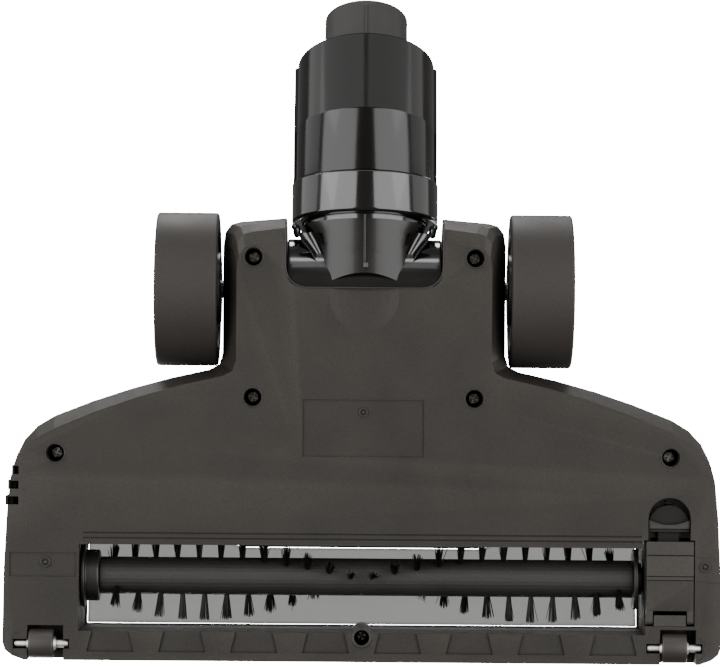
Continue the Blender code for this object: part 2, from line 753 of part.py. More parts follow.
def make_suction_duct(material):
    """A tapered tube from the brush chamber to the barrel, open at both ends."""
    stations = (
        (CHAMBER_REAR + WALL + TOUCH_GAP, 24 * MM, 7.6 * MM, 35 * MM),
        (86 * MM, 20 * MM, 9 * MM, 36 * MM),
        (PIVOT_Y - BARREL_RADIUS - 5 * MM, 15 * MM, 14 * MM, 41 * MM),
    )

    def section(y_back, half, low, high, inset, reach=0.0):
        half -= inset
        low += inset
        high -= inset
        corner = 4 * MM
        right = bend((half - corner, low), (half, low), (half, low + corner), 3)
        right += bend((half, high - corner), (half, high), (half - corner, high), 3)
        loop = right + [(-x, z) for x, z in reversed(right)]
        return [(x, FRONT_Y + y_back + reach, z) for x, z in loop]

    duct = loft("suction_duct", [section(*station, 0.0) for station in stations], material)
    reaches = (-2 * MM, 0.0, 2 * MM)
    bore = [section(*station, DUCT_WALL, reach) for station, reach in zip(stations, reaches)]
    return cut(duct, loft("bore", bore, None))


# ---------------------------------------------------------------- screws, rollers, wheels


def make_screw(name, x, y_back, material):
    """A cross-head screw, head down, in its well."""
    seat = SCREW_SEAT_Z - TOUCH_GAP
    radius = min(SCREW_HEAD, (SCREW_WELL if x else FRONT_SCREW_WELL) - TOUCH_GAP)
    profile = [(0.0, seat - 2.4 * MM), (radius * 0.7, seat - 2.2 * MM), (radius, seat - 1.2 * MM)]
    profile += [(radius, seat), (SCREW_SHANK, seat), (SCREW_SHANK, SCREW_TIP_Z - 1 * MM)]
    profile.append((0.0, SCREW_TIP_Z))
    screw = turned(name, profile, (x, FRONT_Y + y_back, 0.0), (0, 0, 1), material, steps=12)
    y = FRONT_Y + y_back
    arm = radius * 0.55
    slot = 0.45 * MM
    top = seat - 1.2 * MM
    cross = box((x - arm, y - slot, seat - 5 * MM), (x + arm, y + slot, top))
    cross = join(cross, box((x - slot, y - arm, seat - 5 * MM), (x + slot, y + arm, top)))
    return cut(screw, cross)


def make_roller(side, x, materials):
    """A small front roller on its steel axle."""
    y = FRONT_Y + ROLLER_Y
    half = ROLLER_WIDTH / 2
    bore = ROLLER_AXLE + TOUCH_GAP
    profile = [(ROLLER_RADIUS - 0.6 * MM, -half), (ROLLER_RADIUS, -half + 0.6 * MM)]
    profile += [(ROLLER_RADIUS, half - 0.6 * MM), (ROLLER_RADIUS - 0.6 * MM, half)]
    profile += [(bore + 1.2 * MM, half), (bore, half + 0.3 * MM)]
    profile += [(bore, -half - 0.3 * MM), (bore + 1.2 * MM, -half)]
    origin = (x, y, ROLLER_RADIUS)
    turned("front_roller_" + side, profile, origin, (1, 0, 0), materials["roller"], 24)
    reach = ROLLER_AXLE_HALF
    rod((x - reach, y, ROLLER_RADIUS), (x + reach, y, ROLLER_RADIUS), ROLLER_AXLE,
        materials["steel"], "roller_axle_" + side, bevel=0.3 * MM)


def make_wheel(side, sign, materials):
    """A rear wheel: a hub with a boss towards the ear, a tyre on it, and its axle in the ear."""
    origin = (0.0, PIVOT.y, WHEEL_RADIUS)
    axis = (sign, 0, 0)
    inner = WHEEL_INNER
    outer = WHEEL_INNER + WHEEL_WIDTH
    bore = WHEEL_AXLE + TOUCH_GAP
    rim = WHEEL_HUB_RADIUS
    boss = WHEEL_INNER - 0.8 * MM
    profile = [(bore, boss), (WHEEL_BOSS_RADIUS, boss), (WHEEL_BOSS_RADIUS, inner + 1 * MM)]
    profile += [(rim, inner + 1 * MM), (rim, outer - 1 * MM), (rim - 2 * MM, outer - 1 * MM)]
    profile += [(rim - 4 * MM, outer - 3 * MM), (9 * MM, outer - 3 * MM), (8 * MM, outer - 1.5 * MM)]
    profile.append((bore, outer - 1.5 * MM))
    turned("wheel_hub_" + side, profile, origin, axis, materials["hub"], ROUND)
    tread = WHEEL_RADIUS
    seat = rim + TOUCH_GAP
    profile = [(seat, inner), (tread - 1 * MM, inner), (tread, inner + 1 * MM)]
    profile += [(tread, outer - 1 * MM), (tread - 1 * MM, outer), (seat, outer)]
    turned("wheel_tyre_" + side, profile, origin, axis, materials["tyre"], 48)
    start = (sign * (BLOCK_HALF - 3 * MM), PIVOT.y, WHEEL_RADIUS)
    end = (sign * (outer - 2.2 * MM), PIVOT.y, WHEEL_RADIUS)
    rod(start, end, WHEEL_AXLE, materials["steel"], "wheel_axle_" + side, bevel=0.5 * MM)


# ---------------------------------------------------------------- idle-end cap and latch


def make_bearing_cap(material):
    """The fork-shaped cap under the roll's idle end. It swings down about its front legs."""
    outline = [
        (CAP_OUTER, CAP_FRONT), (CAP_OUTER - CAP_LEG, CAP_FRONT), (CAP_OUTER - CAP_LEG, CAP_NOTCH),
        (CAP_INNER + CAP_LEG, CAP_NOTCH), (CAP_INNER + CAP_LEG, CAP_FRONT), (CAP_INNER, CAP_FRONT),
        (CAP_INNER, CAP_REAR), (CAP_OUTER, CAP_REAR),
    ]
    places = [(-x, FRONT_Y + y) for x, y in outline]
    cap = prism(places, SOLE_Z, CAP_TOP_Z, material, "bearing_cap")
    middle = (CAP_INNER + CAP_OUTER) / 2
    groove = slab(-CAP_OUTER - 1 * MM, -CAP_INNER + 1 * MM, 40.5 * MM, 41.1 * MM, 0.0, SOLE_Z + 0.6 * MM)
    pad = slab(-middle - 5 * MM, -middle + 5 * MM, 24 * MM, 31.3 * MM, 0.0, SOLE_Z + 0.6 * MM)
    catch = slab(-middle - 5 * MM, -middle + 5 * MM, CAP_REAR - 1.6 * MM, CAP_REAR + 1 * MM,
                 LATCH_NOSE_LOW - TOUCH_GAP, CAP_TOP_Z + 1 * MM)
    hinge_y = CAP_FRONT + CAP_HINGE
    toe = slab(-CAP_OUTER - 1 * MM, -CAP_INNER + 1 * MM, CAP_FRONT - 1 * MM, hinge_y, 0.0, SOLE_Z + CAP_HINGE)
    ends = [(x, FRONT_Y + hinge_y, SOLE_Z + CAP_HINGE) for x in (-CAP_OUTER - 2 * MM, -CAP_INNER + 2 * MM)]
    cut(toe, rod(*ends, CAP_HINGE, steps=16))
    return cut(cap, groove, pad, catch, toe)


def make_latch(materials):
    """The sliding latch in its finger pocket, with its return spring behind it."""
    low = SOLE_Z + 1.2 * MM
    half = LATCH_HALF - TOUCH_GAP
    front = CAP_REAR + 1.2 * MM
    latch = slab(LATCH_X - half, LATCH_X + half, front, 52.0 * MM, LATCH_NOSE_LOW, LATCH_ROOF - TOUCH_GAP)
    latch.name = "release_latch"
    latch.data.materials[0] = materials["latch"]
    y0 = FRONT_Y + 49.2 * MM
    y1 = FRONT_Y + 53.6 * MM
    tongue = [(LATCH_X + half, y0), (LATCH_X + half, y1)]
    tongue += bend((LATCH_X + half, y1), (LATCH_X, y1 - 3.4 * MM), (LATCH_X - half, y1), 6)[1:]
    tongue.append((LATCH_X - half, y0))
    nose = slab(LATCH_X - 4 * MM, LATCH_X + 4 * MM, CAP_REAR - 1.1 * MM, front + 1 * MM,
                LATCH_NOSE_LOW + 0.2 * MM, LATCH_ROOF - 1.2 * MM)
    join(latch, prism(tongue, low, LATCH_ROOF - TOUCH_GAP), nose)
    return latch


def make_latch_spring(material):
    """A short coil behind the latch, in the pocket's roof space."""
    radius = 1.6 * MM
    wire = 0.35 * MM
    turns = 4
    start = 54.0 * MM
    length = 6.5 * MM
    curve = bpy.data.curves.new("latch_spring", "CURVE")
    curve.dimensions = "3D"
    curve.bevel_depth = wire
    curve.bevel_resolution = 1
    curve.use_fill_caps = True
    spline = curve.splines.new("POLY")
    count = turns * 8 + 1
    spline.points.add(count - 1)
    z = LATCH_ROOF - TOUCH_GAP - radius - wire
    for i, point in enumerate(spline.points):
        angle = math.tau * i / 8
        y = FRONT_Y + start + length * i / (count - 1)
        x = LATCH_X + radius * math.cos(angle)
        point.co = (x, y, z + radius * math.sin(angle), 1.0)
    curve.materials.append(material)
    obj = bpy.data.objects.new("latch_spring", curve)
    bpy.context.scene.collection.objects.link(obj)
    return obj


# ---------------------------------------------------------------- brush roll and drive


def tuft_turn(i):
    """The turn of one tuft about the roll, zero in the middle pair and growing to both ends."""
    return -TUFT_TURN * abs(i - (TUFT_COUNT - 1) / 2)


def roll_point(x, radius, turn):
    """A point on the roll: turn 0 points down and grows towards the front."""
    y = ROLL_AXIS.y - radius * math.sin(turn)
    return (x, y, ROLL_Z - radius * math.cos(turn))


def make_bristle_row(name, shift, phase, material):
    """One V-shaped row: a low strip on the core with a flat tuft at each place."""
    base = CORE_RADIUS + TOUCH_GAP
    strip_top = base + ROW_STRIP
    half = TUFT_DEPTH / 2
    middle = (TUFT_COUNT - 1) / 2
    sections = []
    for i in range(TUFT_COUNT):
        x = (i - middle) * TUFT_PITCH + shift
        turn = phase + tuft_turn(i)
        spread = half / base
        sections.append([
            roll_point(x, base, turn - spread), roll_point(x, base, turn + spread),
            roll_point(x, strip_top, turn + spread), roll_point(x, strip_top, turn - spread),
        ])
    row = loft(name, sections, material)
    tufts = []
    for i in range(TUFT_COUNT):
        x = (i - middle) * TUFT_PITCH + shift
        turn = phase + tuft_turn(i)
        tufts.append(loft("tuft", [tuft_loop(x, radius, turn, share) for radius, share in (
            (strip_top - 0.5 * MM, 0.8), (TIP_RADIUS, 1.0))], None))
    return join(row, *tufts)


def tuft_loop(x, radius, turn, share):
    """A small rectangle across the roll's radius."""
    along = TUFT_WIDTH / 2 * share
    across = TUFT_DEPTH / 2 * share
    centre = Vector(roll_point(x, radius, turn))
    side = Vector(roll_point(x, 1.0, turn + math.pi / 2)) - Vector((x, ROLL_AXIS.y, ROLL_Z))
    step = Vector((along, 0.0, 0.0))
    return [centre - step - side * across, centre + step - side * across,
            centre + step + side * across, centre - step + side * across]


def make_brush(materials):
    core_axis = (1, 0, 0)
    origin = (0.0, ROLL_AXIS.y, ROLL_Z)
    rod((CORE_LEFT + TOUCH_GAP, *origin[1:]), (CORE_RIGHT - TOUCH_GAP, *origin[1:]), CORE_RADIUS,
        materials["core"], "brush_core", 32)
    make_bristle_row("bristle_row_a", 0.0, 0.0, materials["bristle"])
    make_bristle_row("bristle_row_b", ROW_B_SHIFT, math.pi, materials["bristle"])
    end = SLOT_HALF - 0.4 * MM
    tip = PULLEY_X + BELT_WIDTH / 2 + 2 * MM
    drive = [(0.0, CORE_RIGHT), (DRIVE_COLLAR_RADIUS, CORE_RIGHT), (DRIVE_COLLAR_RADIUS, end - 1.6 * MM)]
    drive += [(DRIVE_FLANGE_RADIUS, end - 1.3 * MM), (DRIVE_FLANGE_RADIUS, end)]
    drive += [(ROLL_SHAFT, end), (ROLL_SHAFT, tip), (0.0, tip)]
    turned("drive_end_cap", drive, origin, core_axis, materials["cap"], 24)
    end = SLOT_HALF + IDLE_REACH
    flange = -CORE_LEFT
    idle = [(0.0, flange), (IDLE_FLANGE_RADIUS, flange), (IDLE_FLANGE_RADIUS, flange + 1.5 * MM)]
    idle += [(6 * MM, flange + 1.8 * MM), (6 * MM, SLOT_HALF - 0.6 * MM)]
    idle += [(ROLL_SHAFT, SLOT_HALF - 0.6 * MM), (ROLL_SHAFT, end), (0.0, end)]
    turned("idle_end_cap", idle, origin, (-1, 0, 0), materials["cap"], 24)


def make_bearing(name, x0, x1, material):
    """A bush round one end of the roll's shaft."""
    start = (x0, ROLL_AXIS.y, ROLL_Z)
    return pipe(start, (x1, ROLL_AXIS.y, ROLL_Z), 7.5 * MM, ROLL_SHAFT + TOUCH_GAP, material, name, 24)


def make_pulley(name, axis, radius, bore, x, teeth, material):
    """A toothed pulley with a flange on each side of the belt."""
    half = BELT_WIDTH / 2
    flange = radius + BELT_THICK * 0.6
    profile = [(bore, -half - 0.9 * MM), (flange, -half - 0.9 * MM), (flange, -half - 0.2 * MM)]
    profile += [(radius - TOUCH_GAP, -half - 0.1 * MM), (radius - TOUCH_GAP, half + 0.1 * MM)]
    profile += [(flange, half + 0.2 * MM), (flange, half + 0.9 * MM), (bore, half + 0.9 * MM)]
    return turned(name, profile, (x, axis.y, axis.z), (1, 0, 0), material, teeth)


def belt_loop(extra):
    """The belt's path round both pulleys, as an outline in Y and Z, pushed out by extra."""
    span = Vector((MOTOR_AXIS.y - ROLL_AXIS.y, MOTOR_Z - ROLL_Z))
    heading = math.degrees(math.atan2(span.y, span.x))
    lean = math.degrees(math.acos((BRUSH_PULLEY - MOTOR_PULLEY) / span.length))
    near = arc_points((ROLL_AXIS.y, ROLL_Z), BRUSH_PULLEY + extra, heading + lean, heading + 360 - lean, 16)
    far = arc_points((MOTOR_AXIS.y, MOTOR_Z), MOTOR_PULLEY + extra, heading - lean, heading + lean, 12)
    return near + far


def make_belt(material):
    half = BELT_WIDTH / 2
    belt = side_prism(belt_loop(BELT_THICK), PULLEY_X - half, PULLEY_X + half, material, "drive_belt")
    return cut(belt, side_prism(belt_loop(0.0), PULLEY_X - half - 1 * MM, PULLEY_X + half + 1 * MM))


def make_motor(materials):
    origin = (0.0, MOTOR_AXIS.y, MOTOR_Z)
    shaft = 1.6 * MM
    body = [(0.0, MOTOR_LEFT), (MOTOR_RADIUS - 1 * MM, MOTOR_LEFT), (MOTOR_RADIUS, MOTOR_LEFT + 1 * MM)]
    body += [(MOTOR_RADIUS, MOTOR_RIGHT - 1 * MM), (MOTOR_RADIUS - 1 * MM, MOTOR_RIGHT)]
    body += [(5 * MM, MOTOR_RIGHT), (5 * MM, MOTOR_RIGHT + 3 * MM), (0.0, MOTOR_RIGHT + 3 * MM)]
    turned("drive_motor", body, origin, (1, 0, 0), materials["motor"], 32)
    start = MOTOR_RIGHT + 3 * MM + TOUCH_GAP
    end = PULLEY_X + 5 * MM
    spindle = [(0.0, start), (shaft, start), (shaft, end), (0.0, end)]
    turned("motor_spindle", spindle, origin, (1, 0, 0), materials["steel"], 16)
    white = materials["pulley"]
    make_pulley("motor_pulley", MOTOR_AXIS, MOTOR_PULLEY, shaft + TOUCH_GAP, PULLEY_X, MOTOR_TEETH, white)
    make_pulley("brush_pulley", ROLL_AXIS, BRUSH_PULLEY, ROLL_SHAFT + TOUCH_GAP, PULLEY_X, BRUSH_TEETH, white)
    middle = (MOTOR_LEFT + MOTOR_RIGHT) / 2
    outer = MOTOR_RADIUS + CLAMP_WALL
    clamp = arc_points((MOTOR_AXIS.y, MOTOR_Z), outer, 0, 180, 14)
    foot = SOLE_Z + FLOOR + TOUCH_GAP
    clamp += [(MOTOR_AXIS.y - outer, foot), (MOTOR_AXIS.y + outer, foot)]
    clamp = side_prism(clamp, middle - 5 * MM, middle + 5 * MM, materials["duct"], "motor_clamp")
    start = (middle - 8 * MM, MOTOR_AXIS.y, MOTOR_Z)
    cut(clamp, rod(start, (middle + 8 * MM, MOTOR_AXIS.y, MOTOR_Z), MOTOR_RADIUS + TOUCH_GAP, steps=32))
    under = MOTOR_Z - MOTOR_RADIUS - 6 * MM
    low = (middle - 8 * MM, MOTOR_AXIS.y - 6 * MM, under)
    cut(clamp, box(low, (middle + 8 * MM, MOTOR_AXIS.y + 6 * MM, MOTOR_Z)))


def make_electronics(materials):
    board_z = SOLE_Z + FLOOR + 3 * MM
    board = slab(-94 * MM, -50 * MM, 56 * MM, 88 * MM, board_z, board_z + 1.6 * MM)
    board.name = "circuit_board"
    board.data.materials[0] = materials["board"]
    parts = (
        (-88, 62, 8, 8, 5), (-74, 60, 5, 6, 3), (-62, 62, 7, 5, 4), (-84, 78, 10, 6, 3), (-60, 80, 8, 7, 6),
    )
    for x, y, wide, deep, tall in parts:
        low = board_z + 1 * MM
        join(board, slab(x * MM, (x + wide) * MM, y * MM, (y + deep) * MM, low, low + tall * MM))
    route = ((-52, 84, 17), (-48, 86, 30), (-36, 88, 40), (-18, 88, 43), (0, 87, 43.5), (18, 84, 43),
             (32, 78, 38), (40, 72, 31), (44, 69, 26), (47.4, 68, 24))
    curve = bpy.data.curves.new("motor_lead", "CURVE")
    curve.dimensions = "3D"
    curve.bevel_depth = 1.3 * MM
    curve.bevel_resolution = 1
    curve.use_fill_caps = True
    spline = curve.splines.new("POLY")
    spline.points.add(len(route) - 1)
    for point, (x, y, z) in zip(spline.points, route):
        point.co = (x * MM, FRONT_Y + y * MM, z * MM, 1.0)
    curve.materials.append(materials["lead"])
    bpy.context.scene.collection.objects.link(bpy.data.objects.new("motor_lead", curve))


# ---------------------------------------------------------------- neck

RIGHT = Vector((1.0, 0.0, 0.0))
NECK_UP = Vector((0.0, -math.sin(NECK_ANGLE), math.cos(NECK_ANGLE)))
TIP_UP = Vector((0.0, -math.sin(TIP_ANGLE), math.cos(TIP_ANGLE)))
MITRE = PIVOT + NECK_AXIS * MITRE_AT


def neck_point(distance, x, up):
    """A point in the lower neck's frame: distance from the pivot, across, and up from its axis."""
    return PIVOT + NECK_AXIS * distance + RIGHT * x + NECK_UP * up


def tip_point(distance, x, up):
    """A point in the upper neck's frame, measured from the mitre."""
    return MITRE + TIP_AXIS * distance + RIGHT * x + TIP_UP * up


def mitre_point(x, up):
    """A point on the plane where the lower and the upper neck meet."""
    return neck_point(MITRE_AT - up * math.tan((TIP_ANGLE - NECK_ANGLE) / 2), x, up)


def ellipse(a, b, steps):
    return arc_scaled(a, b, 0, 360 - 360 / steps, steps - 1)


def arc_scaled(a, b, first, last, steps):
    return [(a * x, b * y) for x, y in arc_points((0.0, 0.0), 1.0, first, last, steps)]


def half_ring(outer, inner, first, last, lift, steps=16):
    """Half of a ring's cross-section, as one loop, moved off the parting plane by lift."""
    loop = arc_scaled(outer, outer, first, last, steps)
    loop += arc_scaled(inner, inner, last, first, steps)
    return [(x, up + lift) for x, up in loop]


def make_neck_shell(name, outer, first, last, lift, material):
    """One half of the neck's casing, through the mitre to its rim."""
    loop = half_ring(outer, outer - NECK_WALL, first, last, lift)
    start = COLLAR_START + COLLAR_LENGTH + TOUCH_GAP
    sections = [
        [neck_point(start, x, up) for x, up in loop],
        [mitre_point(x, up) for x, up in loop],
        [tip_point(UPPER_LENGTH, x, up) for x, up in loop],
    ]
    return loft(name, sections, material)


def make_collar(material):
    """The ring that turns on the yoke's socket and carries the neck."""
    inner = SOCKET_RADIUS + RUN_GAP
    start = COLLAR_START
    end = COLLAR_START + COLLAR_LENGTH
    edge = 0.8 * MM
    profile = [(COLLAR_RADIUS - edge, start), (COLLAR_RADIUS, start + edge), (COLLAR_RADIUS, end - edge)]
    profile += [(COLLAR_RADIUS - edge, end), (inner, end), (inner, start)]
    return turned("swivel_collar", profile, PIVOT, NECK_AXIS, material, ROUND)


THROAT = (
    (-2 * MM, 16.2 * MM, 19.6 * MM), (5 * MM, 17.0 * MM, 19.9 * MM), (11 * MM, 18.9 * MM, 20.4 * MM),
    (17 * MM, 22.0 * MM, 21.2 * MM), (23.5 * MM, 25.2 * MM, 22.4 * MM),
)
FUNNEL_HALF_WIDTHS = (
    (138.0 * MM, 15.9 * MM), (142.0 * MM, 15.3 * MM), (147.0 * MM, 14.8 * MM), (152.0 * MM, 15.3 * MM),
    (157.0 * MM, 16.9 * MM), (161.0 * MM, 18.9 * MM), (167.0 * MM, 22.5 * MM),
)


def box_oval(a, b, steps=24, power=3.2):
    """A rounded box shape between an ellipse and a rectangle."""
    points = []
    for x, y in ellipse(1.0, 1.0, steps):
        reach = (abs(x) ** power + abs(y) ** power) ** (1 / power)
        points.append((a * x / reach, b * y / reach))
    return points


def throat_solid(grow, before=0.0, after=0.0):
    """The trumpet between the barrel and the swivel socket, grown all round and run on at its ends."""
    stations = list(THROAT)
    if before:
        distance, a, b = THROAT[0]
        stations.insert(0, (distance - before, a, b))
    if after:
        distance, a, b = THROAT[-1]
        stations.append((distance + after, a, b))
    sections = []
    for distance, a, b in stations:
        sections.append([neck_point(distance, x, up) for x, up in box_oval(a + grow, b + grow)])
    return loft("throat", sections, None)


def barrel_rod(half, radius, steps=ROUND):
    return rod((-half, *PIVOT.yz), (half, *PIVOT.yz), radius, steps=steps)


def make_yoke(materials):
    """The barrel between the ears, with its trumpet and the swivel socket."""
    half = BARREL_HALF
    barrel = barrel_rod(half, BARREL_RADIUS)
    barrel.name = "yoke_barrel"
    barrel.data.materials[0] = materials["barrel"]
    ring_start = THROAT[-1][0] - 1.2 * MM
    socket_end = COLLAR_START + COLLAR_LENGTH - 1 * MM
    ring = rod(neck_point(ring_start, 0, 0), neck_point(socket_end, 0, 0), SOCKET_RADIUS, steps=ROUND)
    join(barrel, barrel_rod(half + TRUNNION_LENGTH, TRUNNION_RADIUS, 16), throat_solid(0.0), ring)
    cut(barrel, barrel_rod(half - YOKE_WALL, BARREL_RADIUS - YOKE_WALL))
    cut(barrel, throat_solid(-YOKE_WALL, 3 * MM, 3 * MM))
    start = neck_point(THROAT[-1][0] + 1 * MM, 0, 0)
    cut(barrel, rod(start, neck_point(socket_end + 2 * MM, 0, 0), SOCKET_RADIUS - YOKE_WALL, steps=ROUND))
    low = (-13 * MM, PIVOT.y - BARREL_RADIUS - 2 * MM, PIVOT.z - 6 * MM)
    cut(barrel, box(low, (13 * MM, PIVOT.y - 6 * MM, PIVOT.z + 13 * MM)))
    return barrel


def make_yoke_cover(material):
    """The light cover under the trumpet: waisted sides, an arched lower edge and a thin centre rib."""
    sections = []
    for distance, across, deep in ((-4, 24.0, 21.4), (10, 24.0, 22.3), (24.7, 25.6, 24.8)):
        loop = ellipse(across * MM, deep * MM, 48)
        sections.append([neck_point(distance * MM, x, up) for x, up in loop])
    cover = loft("yoke_cover", sections, material)
    right = [(x, FRONT_Y + y) for y, x in FUNNEL_HALF_WIDTHS]
    outline = right + [(-x, y) for x, y in reversed(right)]
    keep(cover, prism(outline, -5 * MM, PIVOT_Z - 7 * MM))
    ends = []
    for distance, low in ((4, -21.9), (24.4, -25.2)):
        ends.append([neck_point(distance * MM, x * MM, up * MM) for x, up in (
            (-0.6, low + 2), (0.6, low + 2), (0.6, low), (-0.6, low))])
    join(cover, loft("rib", ends, None))
    cut(cover, throat_solid(TOUCH_GAP, 3 * MM, 2 * MM))
    socket = neck_point(THROAT[-1][0] - 1.2 * MM - TOUCH_GAP, 0, 0)
    cut(cover, rod(socket, neck_point(COLLAR_START + 3 * MM, 0, 0), SOCKET_RADIUS + TOUCH_GAP, steps=ROUND))
    cut(cover, barrel_rod(BARREL_HALF + 1 * MM, BARREL_RADIUS + TOUCH_GAP, 48))
    return cut(cover, post(0.0, FUNNEL_ARC_Y, FUNNEL_ARC_RADIUS, -20 * MM, PIVOT_Z, 48))


def make_stub(materials):
    """The round tube that the cleaner's wand plugs into, with its flange, key rib and contacts."""
    flange = BAND_RADIUS - NECK_WALL - TOUCH_GAP - 0.3 * MM
    seat = UPPER_LENGTH - 3 * MM
    end = UPPER_LENGTH + STUB_LENGTH
    edge = 0.5 * MM
    profile = [(STUB_RADIUS, STUB_START), (STUB_RADIUS, seat), (flange, seat), (flange, UPPER_LENGTH)]
    profile += [(STUB_RADIUS, UPPER_LENGTH), (STUB_RADIUS, end), (STUB_BORE + edge, end)]
    profile += [(STUB_BORE, end - edge), (STUB_BORE, STUB_START)]
    stub = turned("connector_stub", profile, MITRE, TIP_AXIS, materials["stub"], ROUND)
    half = 0.65 * MM
    low = STUB_RADIUS + STUB_RIB
    rib = [[tip_point(s, x, up) for x, up in (
        (-half, 0.6 * MM - STUB_RADIUS), (half, 0.6 * MM - STUB_RADIUS), (half, -low), (-half, -low))]
        for s in (UPPER_LENGTH - 1 * MM, end - 2.5 * MM)]
    join(stub, loft("rib", rib, None))
    block_end = UPPER_LENGTH + 16 * MM
    top = STUB_BORE - 1.5 * MM
    low = top - 3.6 * MM
    loops = [[tip_point(s, x, up) for x, up in (
        (-4.6 * MM, low), (4.6 * MM, low), (4.6 * MM, top), (-4.6 * MM, top))]
        for s in (UPPER_LENGTH - 2 * MM, block_end)]
    block = loft("contact_block", loops, materials["contact"])
    for side, x in (("left", -2.2 * MM), ("right", 2.2 * MM)):
        middle = (low + top) / 2
        start = tip_point(block_end - 6 * MM, x, middle)
        cut(block, rod(start, tip_point(block_end + 2 * MM, x, middle), 0.8 * MM + TOUCH_GAP, steps=12))
        start = tip_point(block_end - 5 * MM, x, middle)
        rod(start, tip_point(block_end + 3 * MM, x, middle), 0.8 * MM, materials["brass"],
            "contact_pin_" + side, 12, 0.2 * MM)
    return stub


def make_liner(material):
    """The smooth tube inside the neck, from the socket to the stub."""
    outer = STUB_RADIUS
    inner = STUB_BORE
    loops = []
    for radius, reach in ((outer, 0.0), (inner, 2 * MM)):
        loop = ellipse(radius, radius, 28)
        loops.append([
            [neck_point(COLLAR_START + COLLAR_LENGTH + 1 * MM - reach, x, up) for x, up in loop],
            [mitre_point(x, up) for x, up in loop],
            [tip_point(STUB_START - TOUCH_GAP + reach, x, up) for x, up in loop],
        ])
    liner = loft("neck_liner", loops[0], material)
    return cut(liner, loft("bore", loops[1], None))


# ---------------------------------------------------------------- assembly


def hang(name, place, nodes, parent=None):
    """An empty on a joint's axis that carries the pieces moving about it."""
    pivot = bpy.data.objects.new(name, None)
    pivot.empty_display_size = 0.01
    bpy.context.scene.collection.objects.link(pivot)
    pivot.matrix_world = Matrix.Translation(place)
    if parent:
        pivot.parent = parent
        pivot.matrix_parent_inverse = Matrix.Translation(-parent.matrix_world.translation)
    for node in nodes:
        piece = bpy.data.objects[node]
        piece.parent = pivot
        piece.matrix_parent_inverse = Matrix.Translation(-Vector(place))
    return pivot


def make_materials():
    grey = (0.055, 0.05, 0.043)
    dark = (0.02, 0.018, 0.015)
    return {
        "sole": make_material("sole_plastic", grey, 0.5),
        "cover": make_material("cover_plastic", (0.06, 0.056, 0.05), 0.35),
        "window": make_material("smoky_clear", (0.4, 0.4, 0.39), 0.08, clear=1.0),
        "steel": make_material("steel", (0.5, 0.49, 0.47), 0.3, 1.0),
        "screw": make_material("screw_steel", (0.2, 0.2, 0.2), 0.35, 1.0),
        "roller": make_material("roller_plastic", grey, 0.5),
        "hub": make_material("hub_plastic", dark, 0.4),
        "tyre": make_material("tyre_rubber", (0.07, 0.063, 0.06), 0.7),
        "latch": make_material("latch_plastic", grey, 0.45),
        "core": make_material("core_plastic", (0.035, 0.032, 0.028), 0.6),
        "bristle": make_material("bristle", (0.045, 0.04, 0.036), 0.8),
        "cap": make_material("cap_plastic", dark, 0.4),
        "pulley": make_material("pulley_plastic", (0.6, 0.6, 0.58), 0.4),
        "belt": make_material("belt_rubber", (0.01, 0.01, 0.01), 0.7),
        "motor": make_material("motor_can", (0.4, 0.4, 0.4), 0.35, 1.0),
        "duct": make_material("duct_plastic", (0.08, 0.08, 0.08), 0.5),
        "board": make_material("circuit_board", (0.02, 0.12, 0.04), 0.5),
        "lead": make_material("lead_sleeve", (0.3, 0.02, 0.02), 0.5),
        "barrel": make_material("barrel_plastic", dark, 0.15),
        "funnel": make_material("funnel_plastic", (0.13, 0.12, 0.11), 0.4),
        "neck": make_material("neck_plastic", (0.06, 0.055, 0.05), 0.25),
        "stub": make_material("stub_plastic", (0.08, 0.072, 0.068), 0.4),
        "contact": make_material("contact_plastic", dark, 0.5),
        "brass": make_material("brass", (0.8, 0.6, 0.25), 0.3, 1.0),
        "bearing": make_material("bearing_steel", (0.55, 0.5, 0.4), 0.35, 1.0),
    }


